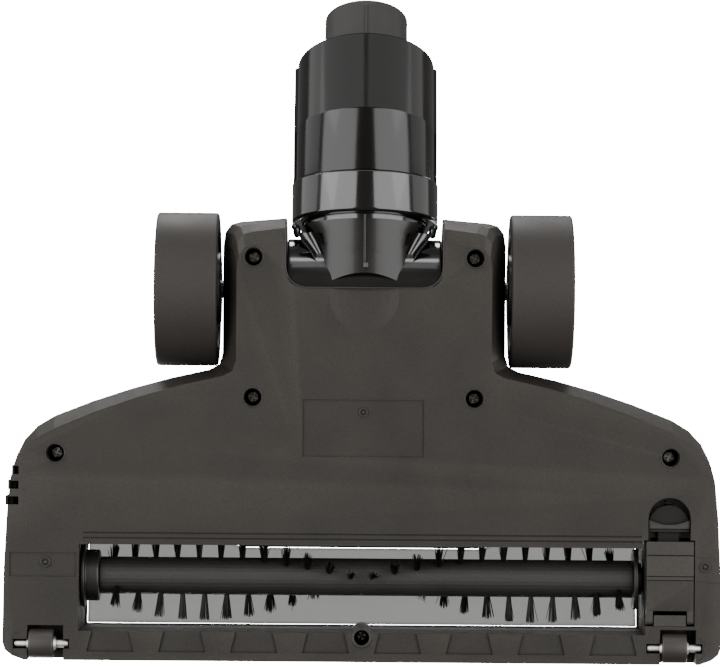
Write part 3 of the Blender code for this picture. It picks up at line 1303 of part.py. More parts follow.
def build():
    for obj in list(bpy.data.objects):
        bpy.data.objects.remove(obj)
    materials = make_materials()
    make_sole_plate(materials["sole"])
    make_top_cover(materials["cover"])
    make_window(materials["window"])
    make_suction_duct(materials["duct"])
    for name, x, y_back in screw_places() + [("front", 0.0, FRONT_SCREW_Y)]:
        make_screw("screw_" + name, x, y_back, materials["screw"])
    for side, sign, roller_x in (("right", 1, ROLLER_RIGHT_X), ("left", -1, ROLLER_LEFT_X)):
        make_roller(side, roller_x, materials)
        make_wheel(side, sign, materials)
    make_bearing_cap(materials["latch"])
    make_latch(materials)
    make_latch_spring(materials["steel"])
    make_brush(materials)
    wall = SLOT_HALF + WALL
    make_bearing("idle_bearing", -wall - 6 * MM, -wall - TOUCH_GAP, materials["bearing"])
    make_bearing("drive_bearing", wall + TOUCH_GAP, wall + 2.8 * MM, materials["bearing"])
    make_belt(materials["belt"])
    make_motor(materials)
    make_electronics(materials)
    make_yoke(materials)
    make_yoke_cover(materials["funnel"])
    make_collar(materials["neck"])
    half_gap = TOUCH_GAP / 2
    make_neck_shell("neck_lower_shell", BAND_RADIUS, 180, 360, -half_gap, materials["neck"])
    make_neck_shell("neck_upper_shell", BAND_RADIUS + TOP_SHELL_EXTRA, 0, 180, half_gap, materials["neck"])
    make_stub(materials)
    make_liner(materials["duct"])

    roll = ["brush_core", "bristle_row_a", "bristle_row_b", "drive_end_cap", "idle_end_cap", "brush_pulley"]
    hang("brush_axis", ROLL_AXIS, roll)
    hang("motor_axis", MOTOR_AXIS, ["motor_spindle", "motor_pulley"])
    for side, sign, roller_x in (("right", 1, ROLLER_RIGHT_X), ("left", -1, ROLLER_LEFT_X)):
        hub = Vector((sign * WHEEL_INNER, PIVOT.y, WHEEL_RADIUS))
        hang("wheel_axis_" + side, hub, ["wheel_hub_" + side, "wheel_tyre_" + side])
        roller = Vector((roller_x, FRONT_Y + ROLLER_Y, ROLLER_RADIUS))
        hang("roller_axis_" + side, roller, ["front_roller_" + side])
    middle = -(CAP_INNER + CAP_OUTER) / 2
    hang("cap_axis", Vector((middle, FRONT_Y + CAP_FRONT + CAP_HINGE, SOLE_Z + CAP_HINGE)), ["bearing_cap"])
    hang("latch_slide", Vector((LATCH_X, FRONT_Y + 50 * MM, LATCH_NOSE_LOW)), ["release_latch"])
    pitch = hang("neck_pitch_axis", PIVOT, ["yoke_barrel", "yoke_cover"])
    turning = ["swivel_collar", "neck_lower_shell", "neck_upper_shell", "connector_stub", "contact_block",
               "contact_pin_left", "contact_pin_right", "neck_liner"]
    hang("neck_swivel_axis", PIVOT, turning, pitch)


build()
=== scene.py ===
"""The looks of a powered floor nozzle: materials, fine surface detail, bristles, studio and camera."""

import math
import random

import bmesh
import bpy
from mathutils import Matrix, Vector


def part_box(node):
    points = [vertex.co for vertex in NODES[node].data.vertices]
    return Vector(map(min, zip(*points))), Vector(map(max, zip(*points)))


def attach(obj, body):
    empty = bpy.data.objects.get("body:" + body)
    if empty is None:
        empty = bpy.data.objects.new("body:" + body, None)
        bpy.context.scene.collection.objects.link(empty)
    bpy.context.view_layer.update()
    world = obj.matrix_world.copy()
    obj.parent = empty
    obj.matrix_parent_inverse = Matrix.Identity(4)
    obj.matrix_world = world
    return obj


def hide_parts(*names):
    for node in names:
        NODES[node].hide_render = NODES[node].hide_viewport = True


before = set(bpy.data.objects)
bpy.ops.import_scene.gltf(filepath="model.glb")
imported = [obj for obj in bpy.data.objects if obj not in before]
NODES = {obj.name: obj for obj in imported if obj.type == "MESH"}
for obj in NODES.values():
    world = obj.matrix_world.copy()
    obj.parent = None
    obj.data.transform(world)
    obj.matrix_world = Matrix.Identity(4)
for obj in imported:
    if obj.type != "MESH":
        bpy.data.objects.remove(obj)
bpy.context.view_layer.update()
MM = 0.001

FRONT_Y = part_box("sole_plate")[0].y


# ---------------------------------------------------------------- studio and camera

CAMERA_HEIGHT = -1.297
CAMERA_X = 1.5 * MM
CAMERA_BACK = 122.2 * MM
CAMERA_LENS = 175.0
CAMERA_ROLL = math.radians(0.46)


def add_camera():
    data = bpy.data.cameras.new("camera")
    data.lens = CAMERA_LENS
    data.sensor_width = 36.0
    data.clip_start = 0.05
    data.clip_end = 50.0
    camera = bpy.data.objects.new("camera", data)
    camera.location = (CAMERA_X, FRONT_Y + CAMERA_BACK, CAMERA_HEIGHT)
    camera.rotation_euler = (0.0, math.pi, -CAMERA_ROLL)
    bpy.context.scene.collection.objects.link(camera)
    bpy.context.scene.camera = camera


def add_softbox(name, place, size, power, target=(0.0, 0.0, 0.03)):
    """A rectangular area light, aimed at the object."""
    data = bpy.data.lights.new(name, "AREA")
    data.shape = "RECTANGLE"
    data.size, data.size_y = size
    data.energy = power
    light = bpy.data.objects.new(name, data)
    light.location = place
    aim = Vector(target) - Vector(place)
    light.rotation_mode = "QUATERNION"
    light.rotation_quaternion = aim.to_track_quat("-Z", "Y")
    bpy.context.scene.collection.objects.link(light)


def add_world():
    """A white surround for the camera, and a dimmer one for the light that falls on the object."""
    world = bpy.data.worlds.new("studio")
    world.use_nodes = True
    nodes = world.node_tree.nodes
    links = world.node_tree.links
    nodes.clear()
    out = nodes.new("ShaderNodeOutputWorld")
    seen = nodes.new("ShaderNodeBackground")
    seen.inputs["Color"].default_value = (1.0, 1.0, 1.0, 1.0)
    seen.inputs["Strength"].default_value = 22.0
    lit = nodes.new("ShaderNodeBackground")
    lit.inputs["Color"].default_value = (1.0, 0.98, 0.95, 1.0)
    lit.inputs["Strength"].default_value = 0.16
    behind = nodes.new("ShaderNodeBackground")
    behind.inputs["Color"].default_value = (1.0, 1.0, 1.0, 1.0)
    behind.inputs["Strength"].default_value = 0.5
    path = nodes.new("ShaderNodeLightPath")
    first = nodes.new("ShaderNodeMixShader")
    mix = nodes.new("ShaderNodeMixShader")
    links.new(path.outputs["Is Transmission Ray"], first.inputs["Fac"])
    links.new(lit.outputs[0], first.inputs[1])
    links.new(behind.outputs[0], first.inputs[2])
    links.new(path.outputs["Is Camera Ray"], mix.inputs["Fac"])
    links.new(first.outputs[0], mix.inputs[1])
    links.new(seen.outputs[0], mix.inputs[2])
    links.new(mix.outputs[0], out.inputs["Surface"])
    bpy.context.scene.world = world


def add_floor():
    """A pale floor that shows its upper face only and catches the object's shadow."""
    half = 4.0
    mesh = bpy.data.meshes.new("floor")
    corners = [(-half, -half, 0), (half, -half, 0), (half, half, 0), (-half, half, 0)]
    mesh.from_pydata(corners, [], [(0, 1, 2, 3)])
    material = bpy.data.materials.new("pale_floor")
    material.use_nodes = True
    nodes = material.node_tree.nodes
    links = material.node_tree.links
    surface = nodes["Principled BSDF"]
    surface.inputs["Base Color"].default_value = (0.86, 0.86, 0.85, 1.0)
    surface.inputs["Roughness"].default_value = 0.9
    clear = nodes.new("ShaderNodeBsdfTransparent")
    side = nodes.new("ShaderNodeNewGeometry")
    mix = nodes.new("ShaderNodeMixShader")
    links.new(side.outputs["Backfacing"], mix.inputs["Fac"])
    links.new(surface.outputs[0], mix.inputs[1])
    links.new(clear.outputs[0], mix.inputs[2])
    links.new(mix.outputs[0], nodes["Material Output"].inputs["Surface"])
    mesh.materials.append(material)
    floor = bpy.data.objects.new("floor", mesh)
    floor.visible_shadow = False
    floor.visible_glossy = False
    floor.visible_diffuse = False
    floor.visible_transmission = False
    bpy.context.scene.collection.objects.link(floor)


# Each is (name, place, size, power in watts). The under and tip pairs light the sole and the neck.
SOFTBOXES = (
    ("under_left", (0.96, 0.12, -0.88), (1.6, 1.5), 29),
    ("under_right", (-0.96, 0.12, -0.88), (1.6, 1.5), 28),
    ("tip_left", (0.95, 1.25, -0.45), (1.9, 1.5), 10),
    ("tip_right", (-0.95, 1.25, -0.45), (1.9, 1.5), 8),
    ("tip_middle", (0.0, 1.3, -0.94), (0.34, 0.6), 0.08),
    ("flank_left", (1.25, 0.42, 0.3), (0.9, 0.9), 3.2),
    ("flank_right", (-1.25, 0.42, 0.3), (0.9, 0.9), 2.2),
    ("rear_strip", (0.0, 1.35, -0.4), (0.5, 0.2), 1.4),
    ("key", (0.7, -0.9, 1.3), (0.9, 0.9), 40),
    ("fill", (-1.1, -0.5, 0.9), (0.8, 0.8), 18),
    ("rim", (0.1, 1.3, 1.0), (1.2, 0.5), 22),
)

add_camera()
add_world()
add_floor()
for light in SOFTBOXES:
    add_softbox(*light)


# ---------------------------------------------------------------- materials


def linear(red, green, blue):
    """A display colour, 0 to 255, as a linear one."""
    shares = [value / 255 for value in (red, green, blue)]
    return tuple(((v + 0.055) / 1.055) ** 2.4 if v > 10 / 255 else v / 12.92 for v in shares)


def moulded(name, colour, roughness, grain=0.0, grain_size=0.35 * MM, mottle=0.08, mottle_size=25 * MM,
            edge_highlight=0.0, coat=0.0, specular=0.5, rough_spread=0.06, crease_shade=1.4 * MM, speckle=0.0):
    """Moulded plastic or rubber: a fine surface grain, slow colour drift and gloss that varies a little, with
    a painted highlight on sharp edges and painted shade in creases.
    """
    material = bpy.data.materials.new(name)
    material.use_nodes = True
    nodes = material.node_tree.nodes
    links = material.node_tree.links
    shader = nodes["Principled BSDF"]
    shader.inputs["Specular IOR Level"].default_value = specular
    shader.inputs["Coat Weight"].default_value = coat
    shader.inputs["Coat Roughness"].default_value = 0.08
    place = nodes.new("ShaderNodeTexCoord")
    slow = nodes.new("ShaderNodeTexNoise")
    slow.inputs["Scale"].default_value = 1 / mottle_size
    slow.inputs["Detail"].default_value = 4
    links.new(place.outputs["Object"], slow.inputs["Vector"])
    ramp = nodes.new("ShaderNodeMapRange")
    ramp.inputs["From Min"].default_value = 0.3
    ramp.inputs["From Max"].default_value = 0.7
    ramp.inputs["To Min"].default_value = 1 - mottle
    ramp.inputs["To Max"].default_value = 1 + mottle
    links.new(slow.outputs["Fac"], ramp.inputs["Value"])
    tint = nodes.new("ShaderNodeVectorMath")
    tint.operation = "SCALE"
    tint.inputs[0].default_value = colour
    links.new(ramp.outputs["Result"], tint.inputs["Scale"])
    base = tint.outputs["Vector"]
    # Painted highlight: sharp edges, found by their pointiness, are lightened towards a paler copy of the
    # colour.
    if edge_highlight:
        edge = nodes.new("ShaderNodeNewGeometry")
        highlight_share = nodes.new("ShaderNodeMapRange")
        highlight_share.inputs["From Min"].default_value = 0.52
        highlight_share.inputs["From Max"].default_value = 0.62
        highlight_share.inputs["To Max"].default_value = edge_highlight
        links.new(edge.outputs["Pointiness"], highlight_share.inputs["Value"])
        edge_lit = nodes.new("ShaderNodeMix")
        edge_lit.data_type = "RGBA"
        edge_lit.inputs["B"].default_value = (*[min(1.0, 1.9 * c + 0.02) for c in colour], 1.0)
        links.new(highlight_share.outputs["Result"], edge_lit.inputs["Factor"])
        links.new(base, edge_lit.inputs["A"])
        base = edge_lit.outputs["Result"]
    if speckle:
        grit = nodes.new("ShaderNodeTexNoise")
        grit.inputs["Scale"].default_value = 1 / (0.7 * MM)
        grit.inputs["Detail"].default_value = 2
        links.new(place.outputs["Object"], grit.inputs["Vector"])
        spread = nodes.new("ShaderNodeMapRange")
        spread.inputs["From Min"].default_value = 0.25
        spread.inputs["From Max"].default_value = 0.75
        spread.inputs["To Min"].default_value = 1 - speckle
        spread.inputs["To Max"].default_value = 1 + speckle
        links.new(grit.outputs["Fac"], spread.inputs["Value"])
        dotted = nodes.new("ShaderNodeVectorMath")
        dotted.operation = "SCALE"
        links.new(base, dotted.inputs[0])
        links.new(spread.outputs["Result"], dotted.inputs["Scale"])
        base = dotted.outputs["Vector"]
    # Painted shade: ambient occlusion darkens the colour in creases, gaps and recesses.
    if crease_shade:
        hollow = nodes.new("ShaderNodeAmbientOcclusion")
        hollow.samples = 4
        hollow.inputs["Distance"].default_value = crease_shade
        depth = nodes.new("ShaderNodeMapRange")
        depth.inputs["From Min"].default_value = 0.35
        depth.inputs["From Max"].default_value = 0.95
        depth.inputs["To Min"].default_value = 0.12
        links.new(hollow.outputs["AO"], depth.inputs["Value"])
        shaded = nodes.new("ShaderNodeVectorMath")
        shaded.operation = "SCALE"
        links.new(base, shaded.inputs[0])
        links.new(depth.outputs["Result"], shaded.inputs["Scale"])
        base = shaded.outputs["Vector"]
    links.new(base, shader.inputs["Base Color"])
    gloss = nodes.new("ShaderNodeMapRange")
    gloss.inputs["From Min"].default_value = 0.3
    gloss.inputs["From Max"].default_value = 0.7
    gloss.inputs["To Min"].default_value = max(0.02, roughness - rough_spread)
    gloss.inputs["To Max"].default_value = min(1.0, roughness + rough_spread)
    links.new(slow.outputs["Fac"], gloss.inputs["Value"])
    links.new(gloss.outputs["Result"], shader.inputs["Roughness"])
    if grain:
        fine = nodes.new("ShaderNodeTexNoise")
        fine.inputs["Scale"].default_value = 1 / grain_size
        fine.inputs["Detail"].default_value = 3
        links.new(place.outputs["Object"], fine.inputs["Vector"])
        bump = nodes.new("ShaderNodeBump")
        bump.inputs["Strength"].default_value = grain
        bump.inputs["Distance"].default_value = 0.06 * MM
        links.new(fine.outputs["Fac"], bump.inputs["Height"])
        links.new(bump.outputs["Normal"], shader.inputs["Normal"])
    return material


def metal(name, colour, roughness, lines=0.0):
    """Turned or drawn metal with fine lines round its axis."""
    material = moulded(name, colour, roughness, mottle=0.12, mottle_size=3 * MM, rough_spread=0.1)
    nodes = material.node_tree.nodes
    nodes["Principled BSDF"].inputs["Metallic"].default_value = 1.0
    if lines:
        links = material.node_tree.links
        place = nodes.new("ShaderNodeTexCoord")
        stretch = nodes.new("ShaderNodeMapping")
        stretch.inputs["Scale"].default_value = (6000, 200, 200)
        links.new(place.outputs["Object"], stretch.inputs["Vector"])
        streaks = nodes.new("ShaderNodeTexNoise")
        streaks.inputs["Scale"].default_value = 1.0
        links.new(stretch.outputs["Vector"], streaks.inputs["Vector"])
        bump = nodes.new("ShaderNodeBump")
        bump.inputs["Strength"].default_value = lines
        bump.inputs["Distance"].default_value = 0.02 * MM
        links.new(streaks.outputs["Fac"], bump.inputs["Height"])
        links.new(bump.outputs["Normal"], nodes["Principled BSDF"].inputs["Normal"])
    return material


def clear_plastic(name):
    """Smoky clear plastic with faint haze."""
    material = moulded(name, (0.62, 0.62, 0.6), 0.05, mottle=0.03, rough_spread=0.02)
    shader = material.node_tree.nodes["Principled BSDF"]
    shader.inputs["Transmission Weight"].default_value = 1.0
    shader.inputs["IOR"].default_value = 1.3
    return material


SOLE = moulded("sole_plastic", (0.0172, 0.0148, 0.0117), 0.5, grain=0.5, grain_size=0.6 * MM, edge_highlight=0.35,
               specular=0.32, speckle=0.22)
CAP_BLOCK = moulded("cap_block_plastic", (0.0165, 0.0142, 0.0113), 0.48, grain=0.5, edge_highlight=0.4, specular=0.32,
                    speckle=0.2)
# Near black: painted shade for the floor of the deep latch pocket and for the insides of the side vents.
POCKET_SHADE = moulded("pocket_painted_shade", (0.006, 0.0052, 0.0042), 0.55, grain=0.3, specular=0.25)
COVER = moulded("cover_plastic", (0.0165, 0.0146, 0.012), 0.34, specular=0.4, grain=0.12, edge_highlight=0.2)
WINDOW = clear_plastic("smoky_clear")
STEEL = metal("turned_steel", (0.93, 0.9, 0.85), 0.5, lines=0.4)
SPRING = metal("spring_wire", (0.03, 0.028, 0.026), 0.5)
SCREW = metal("plated_screw", (0.25, 0.235, 0.21), 0.26, lines=0.2)
ROLLER = moulded("roller_plastic", (0.023, 0.019, 0.0155), 0.45, grain=0.2, edge_highlight=0.5)
HUB = moulded("hub_plastic", (0.016, 0.015, 0.014), 0.35, grain=0.1)
TYRE = moulded("tyre_rubber", (0.0215, 0.0185, 0.0162), 0.62, specular=0.32, speckle=0.15, grain=0.5,
                grain_size=0.5 * MM, mottle=0.05)
CORE_SEAM = moulded("core_seam", (0.03, 0.027, 0.024), 0.35)
CORE = moulded("core_plastic", (0.0115, 0.0104, 0.009), 0.55, grain=0.7, grain_size=0.6 * MM,
                speckle=0.4)
BRISTLE = moulded("bristle_nylon", (0.0035, 0.0032, 0.003), 0.55, mottle=0.25, mottle_size=2 * MM,
                  specular=0.25, crease_shade=0.0)
CAP = moulded("cap_plastic", (0.012, 0.011, 0.01), 0.35, grain=0.1)
PULLEY = moulded("pulley_plastic", linear(198, 196, 188), 0.4, grain=0.1)
BELT = moulded("belt_rubber", linear(24, 24, 24), 0.7, grain=0.4)
MOTOR = metal("motor_can", (0.5, 0.5, 0.5), 0.3, lines=0.3)
DUCT = moulded("duct_plastic", linear(60, 60, 60), 0.5, grain=0.2)
BOARD = moulded("board_lacquer", (0.02, 0.12, 0.045), 0.3, mottle=0.2, mottle_size=4 * MM)
LEAD = moulded("lead_sleeve", (0.3, 0.02, 0.02), 0.45)
BARREL = moulded("barrel_gloss", (0.005, 0.0046, 0.0042), 0.14, coat=0.5, specular=0.8, mottle=0.05,
                  rough_spread=0.03)
FUNNEL = moulded("funnel_satin", (0.0075, 0.0068, 0.0061), 0.26, coat=0.1, specular=0.38, grain=0.06,
                 rough_spread=0.03)
NECK = moulded("neck_gloss", (0.0035, 0.0031, 0.0027), 0.13, mottle=0.05, rough_spread=0.03, coat=0.35,
                specular=0.7)
CASING = moulded("casing_gloss", (0.0035, 0.0031, 0.0027), 0.16, mottle=0.05, rough_spread=0.03, coat=0.12,
                  specular=0.4)
STUB = moulded("stub_satin", (0.016, 0.0145, 0.0132), 0.4, grain=0.12)
CONTACT = moulded("contact_plastic", linear(30, 30, 30), 0.5)
BRASS = metal("plated_contact", (0.85, 0.65, 0.3), 0.25)
BUSH = metal("sintered_bush", (0.5, 0.44, 0.34), 0.42)

FINISHES = {
    "sole_plate": SOLE, "bearing_cap": CAP_BLOCK, "release_latch": CAP_BLOCK, "top_cover": COVER,
    "brush_window": WINDOW, "latch_spring": SPRING, "motor_spindle": STEEL, "brush_core": CORE,
    "bristle_row_a": BRISTLE, "bristle_row_b": BRISTLE, "drive_end_cap": CAP, "idle_end_cap": CAP,
    "brush_pulley": PULLEY, "motor_pulley": PULLEY, "drive_belt": BELT, "drive_motor": MOTOR,
    "motor_clamp": DUCT, "suction_duct": DUCT, "neck_liner": DUCT, "circuit_board": BOARD,
    "motor_lead": LEAD, "yoke_barrel": BARREL, "yoke_cover": FUNNEL, "swivel_collar": NECK,
    "neck_lower_shell": NECK, "neck_upper_shell": NECK, "connector_stub": STUB, "contact_block": CONTACT,
    "contact_pin_left": BRASS, "contact_pin_right": BRASS, "idle_bearing": BUSH, "drive_bearing": BUSH,
}
for side in ("left", "right"):
    FINISHES["front_roller_" + side] = ROLLER
    FINISHES["roller_axle_" + side] = STEEL
    FINISHES["wheel_hub_" + side] = HUB
    FINISHES["wheel_tyre_" + side] = TYRE
    FINISHES["wheel_axle_" + side] = STEEL


def finish_cad_nodes():
    """Gives every CAD node its material, and smooth shading apart from its sharp edges."""
    for name, node in NODES.items():
        material = SCREW if name.startswith("screw_") else FINISHES[name]
        node.data.materials.clear()
        node.data.materials.append(material)
        node.data.shade_smooth()
        node.data.set_sharp_from_angle(angle=math.radians(32))


finish_cad_nodes()


# ---------------------------------------------------------------- modelling helpers

# Sizes in mm. A distance back is from the housing's front edge, and a height is from the floor.
PIVOT_BACK = 138.5
PIVOT_HEIGHT = 29.0
SOLE_FACE = 3.0
BARREL_RADIUS = 19.3
BARREL_HALF = 28.9
STUB_RADIUS = 15.9
STUB_BORE = 13.6
STUB_END = 50.2
FLANGE_RADIUS = 23.5
CASING_START = 41.1
CASING_RIM = 29.0
CASING_WALL = 2.4
TYRE_RADIUS = 29.0
TYRE_BORE = 22.3
TYRE_INNER = 55.0
TYRE_OUTER = 78.3
ROLLER_RADIUS = 5.5
ROLLER_HALF = 4.6
FRONT_SCREW_BACK = 9.1
SCREW_PLACES = (("ear", 41.25, 150.4), ("middle", 41.25, 98.2), ("side", 114.4, 76.9))
OVAL_STEPS = 96

PIVOT = Vector((0.0, FRONT_Y + PIVOT_BACK * MM, PIVOT_HEIGHT * MM))
NECK_ANGLE = math.radians(10.0)
TIP_ANGLE = math.radians(27.0)
NECK_AXIS = Vector((0.0, math.cos(NECK_ANGLE), math.sin(NECK_ANGLE)))
NECK_UP = Vector((0.0, -math.sin(NECK_ANGLE), math.cos(NECK_ANGLE)))
TIP_AXIS = Vector((0.0, math.cos(TIP_ANGLE), math.sin(TIP_ANGLE)))
TIP_UP = Vector((0.0, -math.sin(TIP_ANGLE), math.cos(TIP_ANGLE)))
MITRE_AT = 61.0 * MM
MITRE = PIVOT + NECK_AXIS * MITRE_AT


def neck_point(distance, x, up):
    """A point in the lower neck's frame, in mm: distance from the pivot, across, and up from its axis."""
    return PIVOT + NECK_AXIS * (distance * MM) + NECK_UP * (up * MM) + Vector((x * MM, 0.0, 0.0))


def tip_point(distance, x, up):
    """A point in the upper neck's frame, in mm from the mitre."""
    return MITRE + TIP_AXIS * (distance * MM) + TIP_UP * (up * MM) + Vector((x * MM, 0.0, 0.0))


def turn_outward(mesh, merge=0.0):
    """Makes a closed mesh's normals face out, after joining points that are nearer than merge."""
    work = bmesh.new()
    work.from_mesh(mesh)
    if merge:
        bmesh.ops.remove_doubles(work, verts=work.verts, dist=merge)
    bmesh.ops.recalc_face_normals(work, faces=work.faces)
    work.to_mesh(mesh)
    work.free()


def add_piece(name, points, faces, material, body, angle=35.0, replaces=(), clean=True):
    """A mesh piece at rest, smooth apart from its sharp edges, riding on its body."""
    mesh = bpy.data.meshes.new(name)
    mesh.from_pydata([tuple(p) for p in points], [], faces)
    mesh.update()
    if clean:
        turn_outward(mesh)
    mesh.materials.append(material)
    mesh.shade_smooth()
    mesh.set_sharp_from_angle(angle=math.radians(angle))
    piece = bpy.data.objects.new(name, mesh)
    bpy.context.scene.collection.objects.link(piece)
    if replaces:
        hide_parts(*replaces)
    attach(piece, body)
    return piece


def loft_mesh(sections, closed=True, capped=True):
    """Points and faces through sections that all have the same number of points."""
    points = [p for section in sections for p in section]
    width = len(sections[0])
    faces = []
    for row in range(len(sections) - 1):
        for i in range(width if closed else width - 1):
            j = (i + 1) % width
            faces.append((row * width + i, row * width + j, (row + 1) * width + j, (row + 1) * width + i))
    if capped:
        faces.append(tuple(reversed(range(width))))
        last = (len(sections) - 1) * width
        faces.append(tuple(last + i for i in range(width)))
    return points, faces


def turned_mesh(profile, origin, direction, steps=96):
    """A closed profile of (radius, distance) in mm, turned about an axis."""
    direction = Vector(direction).normalized()
    across = direction.orthogonal().normalized()
    other = direction.cross(across)
    points = []
    for k in range(steps):
        turn = 2 * math.pi * k / steps
        spoke = across * math.cos(turn) + other * math.sin(turn)
        points += [Vector(origin) + spoke * (r * MM) + direction * (d * MM) for r, d in profile]
    width = len(profile)
    faces = []
    for k in range(steps):
        n = (k + 1) % steps
        for i in range(width):
            j = (i + 1) % width
            faces.append((k * width + i, k * width + j, n * width + j, n * width + i))
    return points, faces


def rounded(profile, radii, steps=5):
    """Rounds the corners of a closed outline. radii holds one radius in mm per corner, 0 for a sharp one."""
    result = []
    count = len(profile)
    for i, radius in enumerate(radii):
        corner = Vector(profile[i])
        if not radius:
            result.append(tuple(corner))
            continue
        before = (Vector(profile[i - 1]) - corner)
        after = (Vector(profile[(i + 1) % count]) - corner)
        start = corner + before.normalized() * min(radius, before.length / 2)
        end = corner + after.normalized() * min(radius, after.length / 2)
        for k in range(steps + 1):
            t = k / steps
            result.append(tuple(start * (1 - t) ** 2 + corner * 2 * t * (1 - t) + end * t ** 2))
    return result


def joined(*meshes):
    """Several point and face lists as one."""
    points, faces = [], []
    for more_points, more_faces in meshes:
        offset = len(points)
        points += list(more_points)
        faces += [tuple(offset + i for i in face) for face in more_faces]
    return points, faces


def at(x, y_back, z):
    """A point in mm: across, back from the front edge, and up from the floor."""
    return Vector((x * MM, FRONT_Y + y_back * MM, z * MM))


def tube_mesh(path, radius, sides=8):
    """A thin round bead along a path of points."""
    sections = []
    for i, place in enumerate(path):
        along = (path[min(i + 1, len(path) - 1)] - path[max(i - 1, 0)]).normalized()
        across = along.cross(Vector((0.0, 0.0, 1.0))).normalized()
        other = along.cross(across)
        ring = []
        for k in range(sides):
            turn = 2 * math.pi * k / sides
            ring.append(place + (across * math.cos(turn) + other * math.sin(turn)) * radius)
        sections.append(ring)
    return loft_mesh(sections)


def curve_points(knots, steps=10):
    """A smooth path through points, by Catmull-Rom."""
    knots = [Vector(k) for k in knots]
    ends = [knots[0] * 2 - knots[1]] + knots + [knots[-1] * 2 - knots[-2]]
    path = []
    for i in range(1, len(ends) - 2):
        a, b, c, d = ends[i - 1:i + 3]
        for k in range(steps):
            t = k / steps
            path.append(0.5 * (2 * b + (c - a) * t + (2 * a - 5 * b + 4 * c - d) * t * t
                               + (3 * b - a - 3 * c + d) * t ** 3))
    return path + [ends[-2]]


def prism_mesh(outline, low, high):
    """A plan outline of (x, y_back) in mm, between two heights."""
    return loft_mesh([[at(x, y, z) for x, y in outline] for z in (low, high)])


def box_mesh(x0, x1, y0, y1, z0, z1):
    """A box in mm, with y as a distance back from the front edge."""
    return prism_mesh(((x0, y0), (x1, y0), (x1, y1), (x0, y1)), z0, z1)


def cut_mesh(target, tools):
    """Points and faces of a mesh object after closed shapes are cut from it."""
    scene = bpy.context.scene.collection
    turn_outward(target.data, 1e-7)
    scene.objects.link(target)
    cutters = []
    for points, faces in tools:
        mesh = bpy.data.meshes.new("cutter")
        mesh.from_pydata([tuple(p) for p in points], [], faces)
        turn_outward(mesh)
        cutter = bpy.data.objects.new("cutter", mesh)
        scene.objects.link(cutter)
        cutters.append(cutter)
        modifier = target.modifiers.new("cut", "BOOLEAN")
        modifier.operation = "DIFFERENCE"
        modifier.solver = "EXACT"
        modifier.object = cutter
    bpy.context.view_layer.update()
    shown = target.evaluated_get(bpy.context.evaluated_depsgraph_get()).to_mesh()
    points = [v.co.copy() for v in shown.vertices]
    faces = [tuple(p.vertices) for p in shown.polygons]
    for thing in [target] + cutters:
        bpy.data.objects.remove(thing)
    return points, faces


def carved(body, tools):
    """A closed shape with grooves and recesses cut from it."""
    mesh = bpy.data.meshes.new("body")
    mesh.from_pydata([tuple(p) for p in body[0]], [], body[1])
    return cut_mesh(bpy.data.objects.new("body", mesh), tools)


# ---------------------------------------------------------------- brush roll

ROLL = Vector((0.0, FRONT_Y + 30.7 * MM, 18.0 * MM))
TUFT_COUNT = 24
TUFT_PITCH = 8.16
TUFT_TURN = math.radians(12.4)
HAIRS = 46
ROOT_SPREAD = 0.8
TIP_SPREAD = 1.85


def roll_point(x, radius, turn, aside=0.0):
    """A point on the roll, in mm. Turn 0 points down and grows towards the front."""
    out = Vector((0.0, -math.sin(turn), -math.cos(turn)))
    side = Vector((0.0, -math.cos(turn), math.sin(turn)))
    return ROLL + Vector((x * MM, 0.0, 0.0)) + out * (radius * MM) + side * (aside * MM)


def hair_mesh(start, end, bow, thick):
    """One bristle: a thin three-sided rod with a slight bow and a blunt tip."""
    along = (end - start).normalized()
    across = along.orthogonal().normalized()
    other = along.cross(across)
    points = []
    for share, scale in ((0.0, 1.0), (0.5, 0.95), (0.85, 0.85), (1.0, 0.55)):
        centre = start.lerp(end, share) + bow * (share * share)
        for k in range(3):
            turn = 2 * math.pi * k / 3
            points.append(centre + (across * math.cos(turn) + other * math.sin(turn)) * (thick * scale))
    faces = [(11, 10, 9)]
    for row in range(3):
        for k in range(3):
            n = (k + 1) % 3
            faces.append((row * 3 + k, row * 3 + n, row * 3 + 3 + n, row * 3 + 3 + k))
    return points, faces


def tuft_meshes(x, turn, rng):
    """A tuft of bristles that fans out from its hole in the core."""
    meshes = []
    lean = rng.uniform(-0.25, 0.25)
    for i in range(HAIRS):
        spoke = rng.uniform(0, 2 * math.pi)
        share = math.sqrt(rng.random())
        stray = 1.0 if i < HAIRS - 3 else rng.uniform(1.3, 2.0)
        along, aside = share * math.cos(spoke), share * math.sin(spoke)
        start = roll_point(x + ROOT_SPREAD * along, 6.6, turn, ROOT_SPREAD * aside)
        reach = 16.9 - (0.9 if stray > 1 else 0.45) * rng.random() - 0.35 * share
        tip_x = x + lean + TIP_SPREAD * stray * along + rng.gauss(0, 0.12)
        end = roll_point(tip_x, reach, turn, TIP_SPREAD * stray * aside)
        bow = Vector([rng.gauss(0, 0.10) * MM for _ in range(3)])
        meshes.append(hair_mesh(start, end, bow, rng.uniform(0.13, 0.19) * MM))
    return meshes


def add_bristles():
    """Two V-shaped rows of bristle tufts, half a turn apart."""
    middle = (TUFT_COUNT - 1) / 2
    for letter, shift, phase, seed in (("a", 0.0, 0.0, 5), ("b", -2.2, math.pi, 9)):
        rng = random.Random(seed)
        meshes = []
        for i in range(TUFT_COUNT):
            x = (i - middle) * TUFT_PITCH + shift
            meshes += tuft_meshes(x, phase - TUFT_TURN * abs(i - middle), rng)
        row = joined(*meshes)
        replaced = ["bristle_row_" + letter]
        add_piece("bristles_" + letter, *row, BRISTLE, "brush_roll", 60, replaced, clean=False)


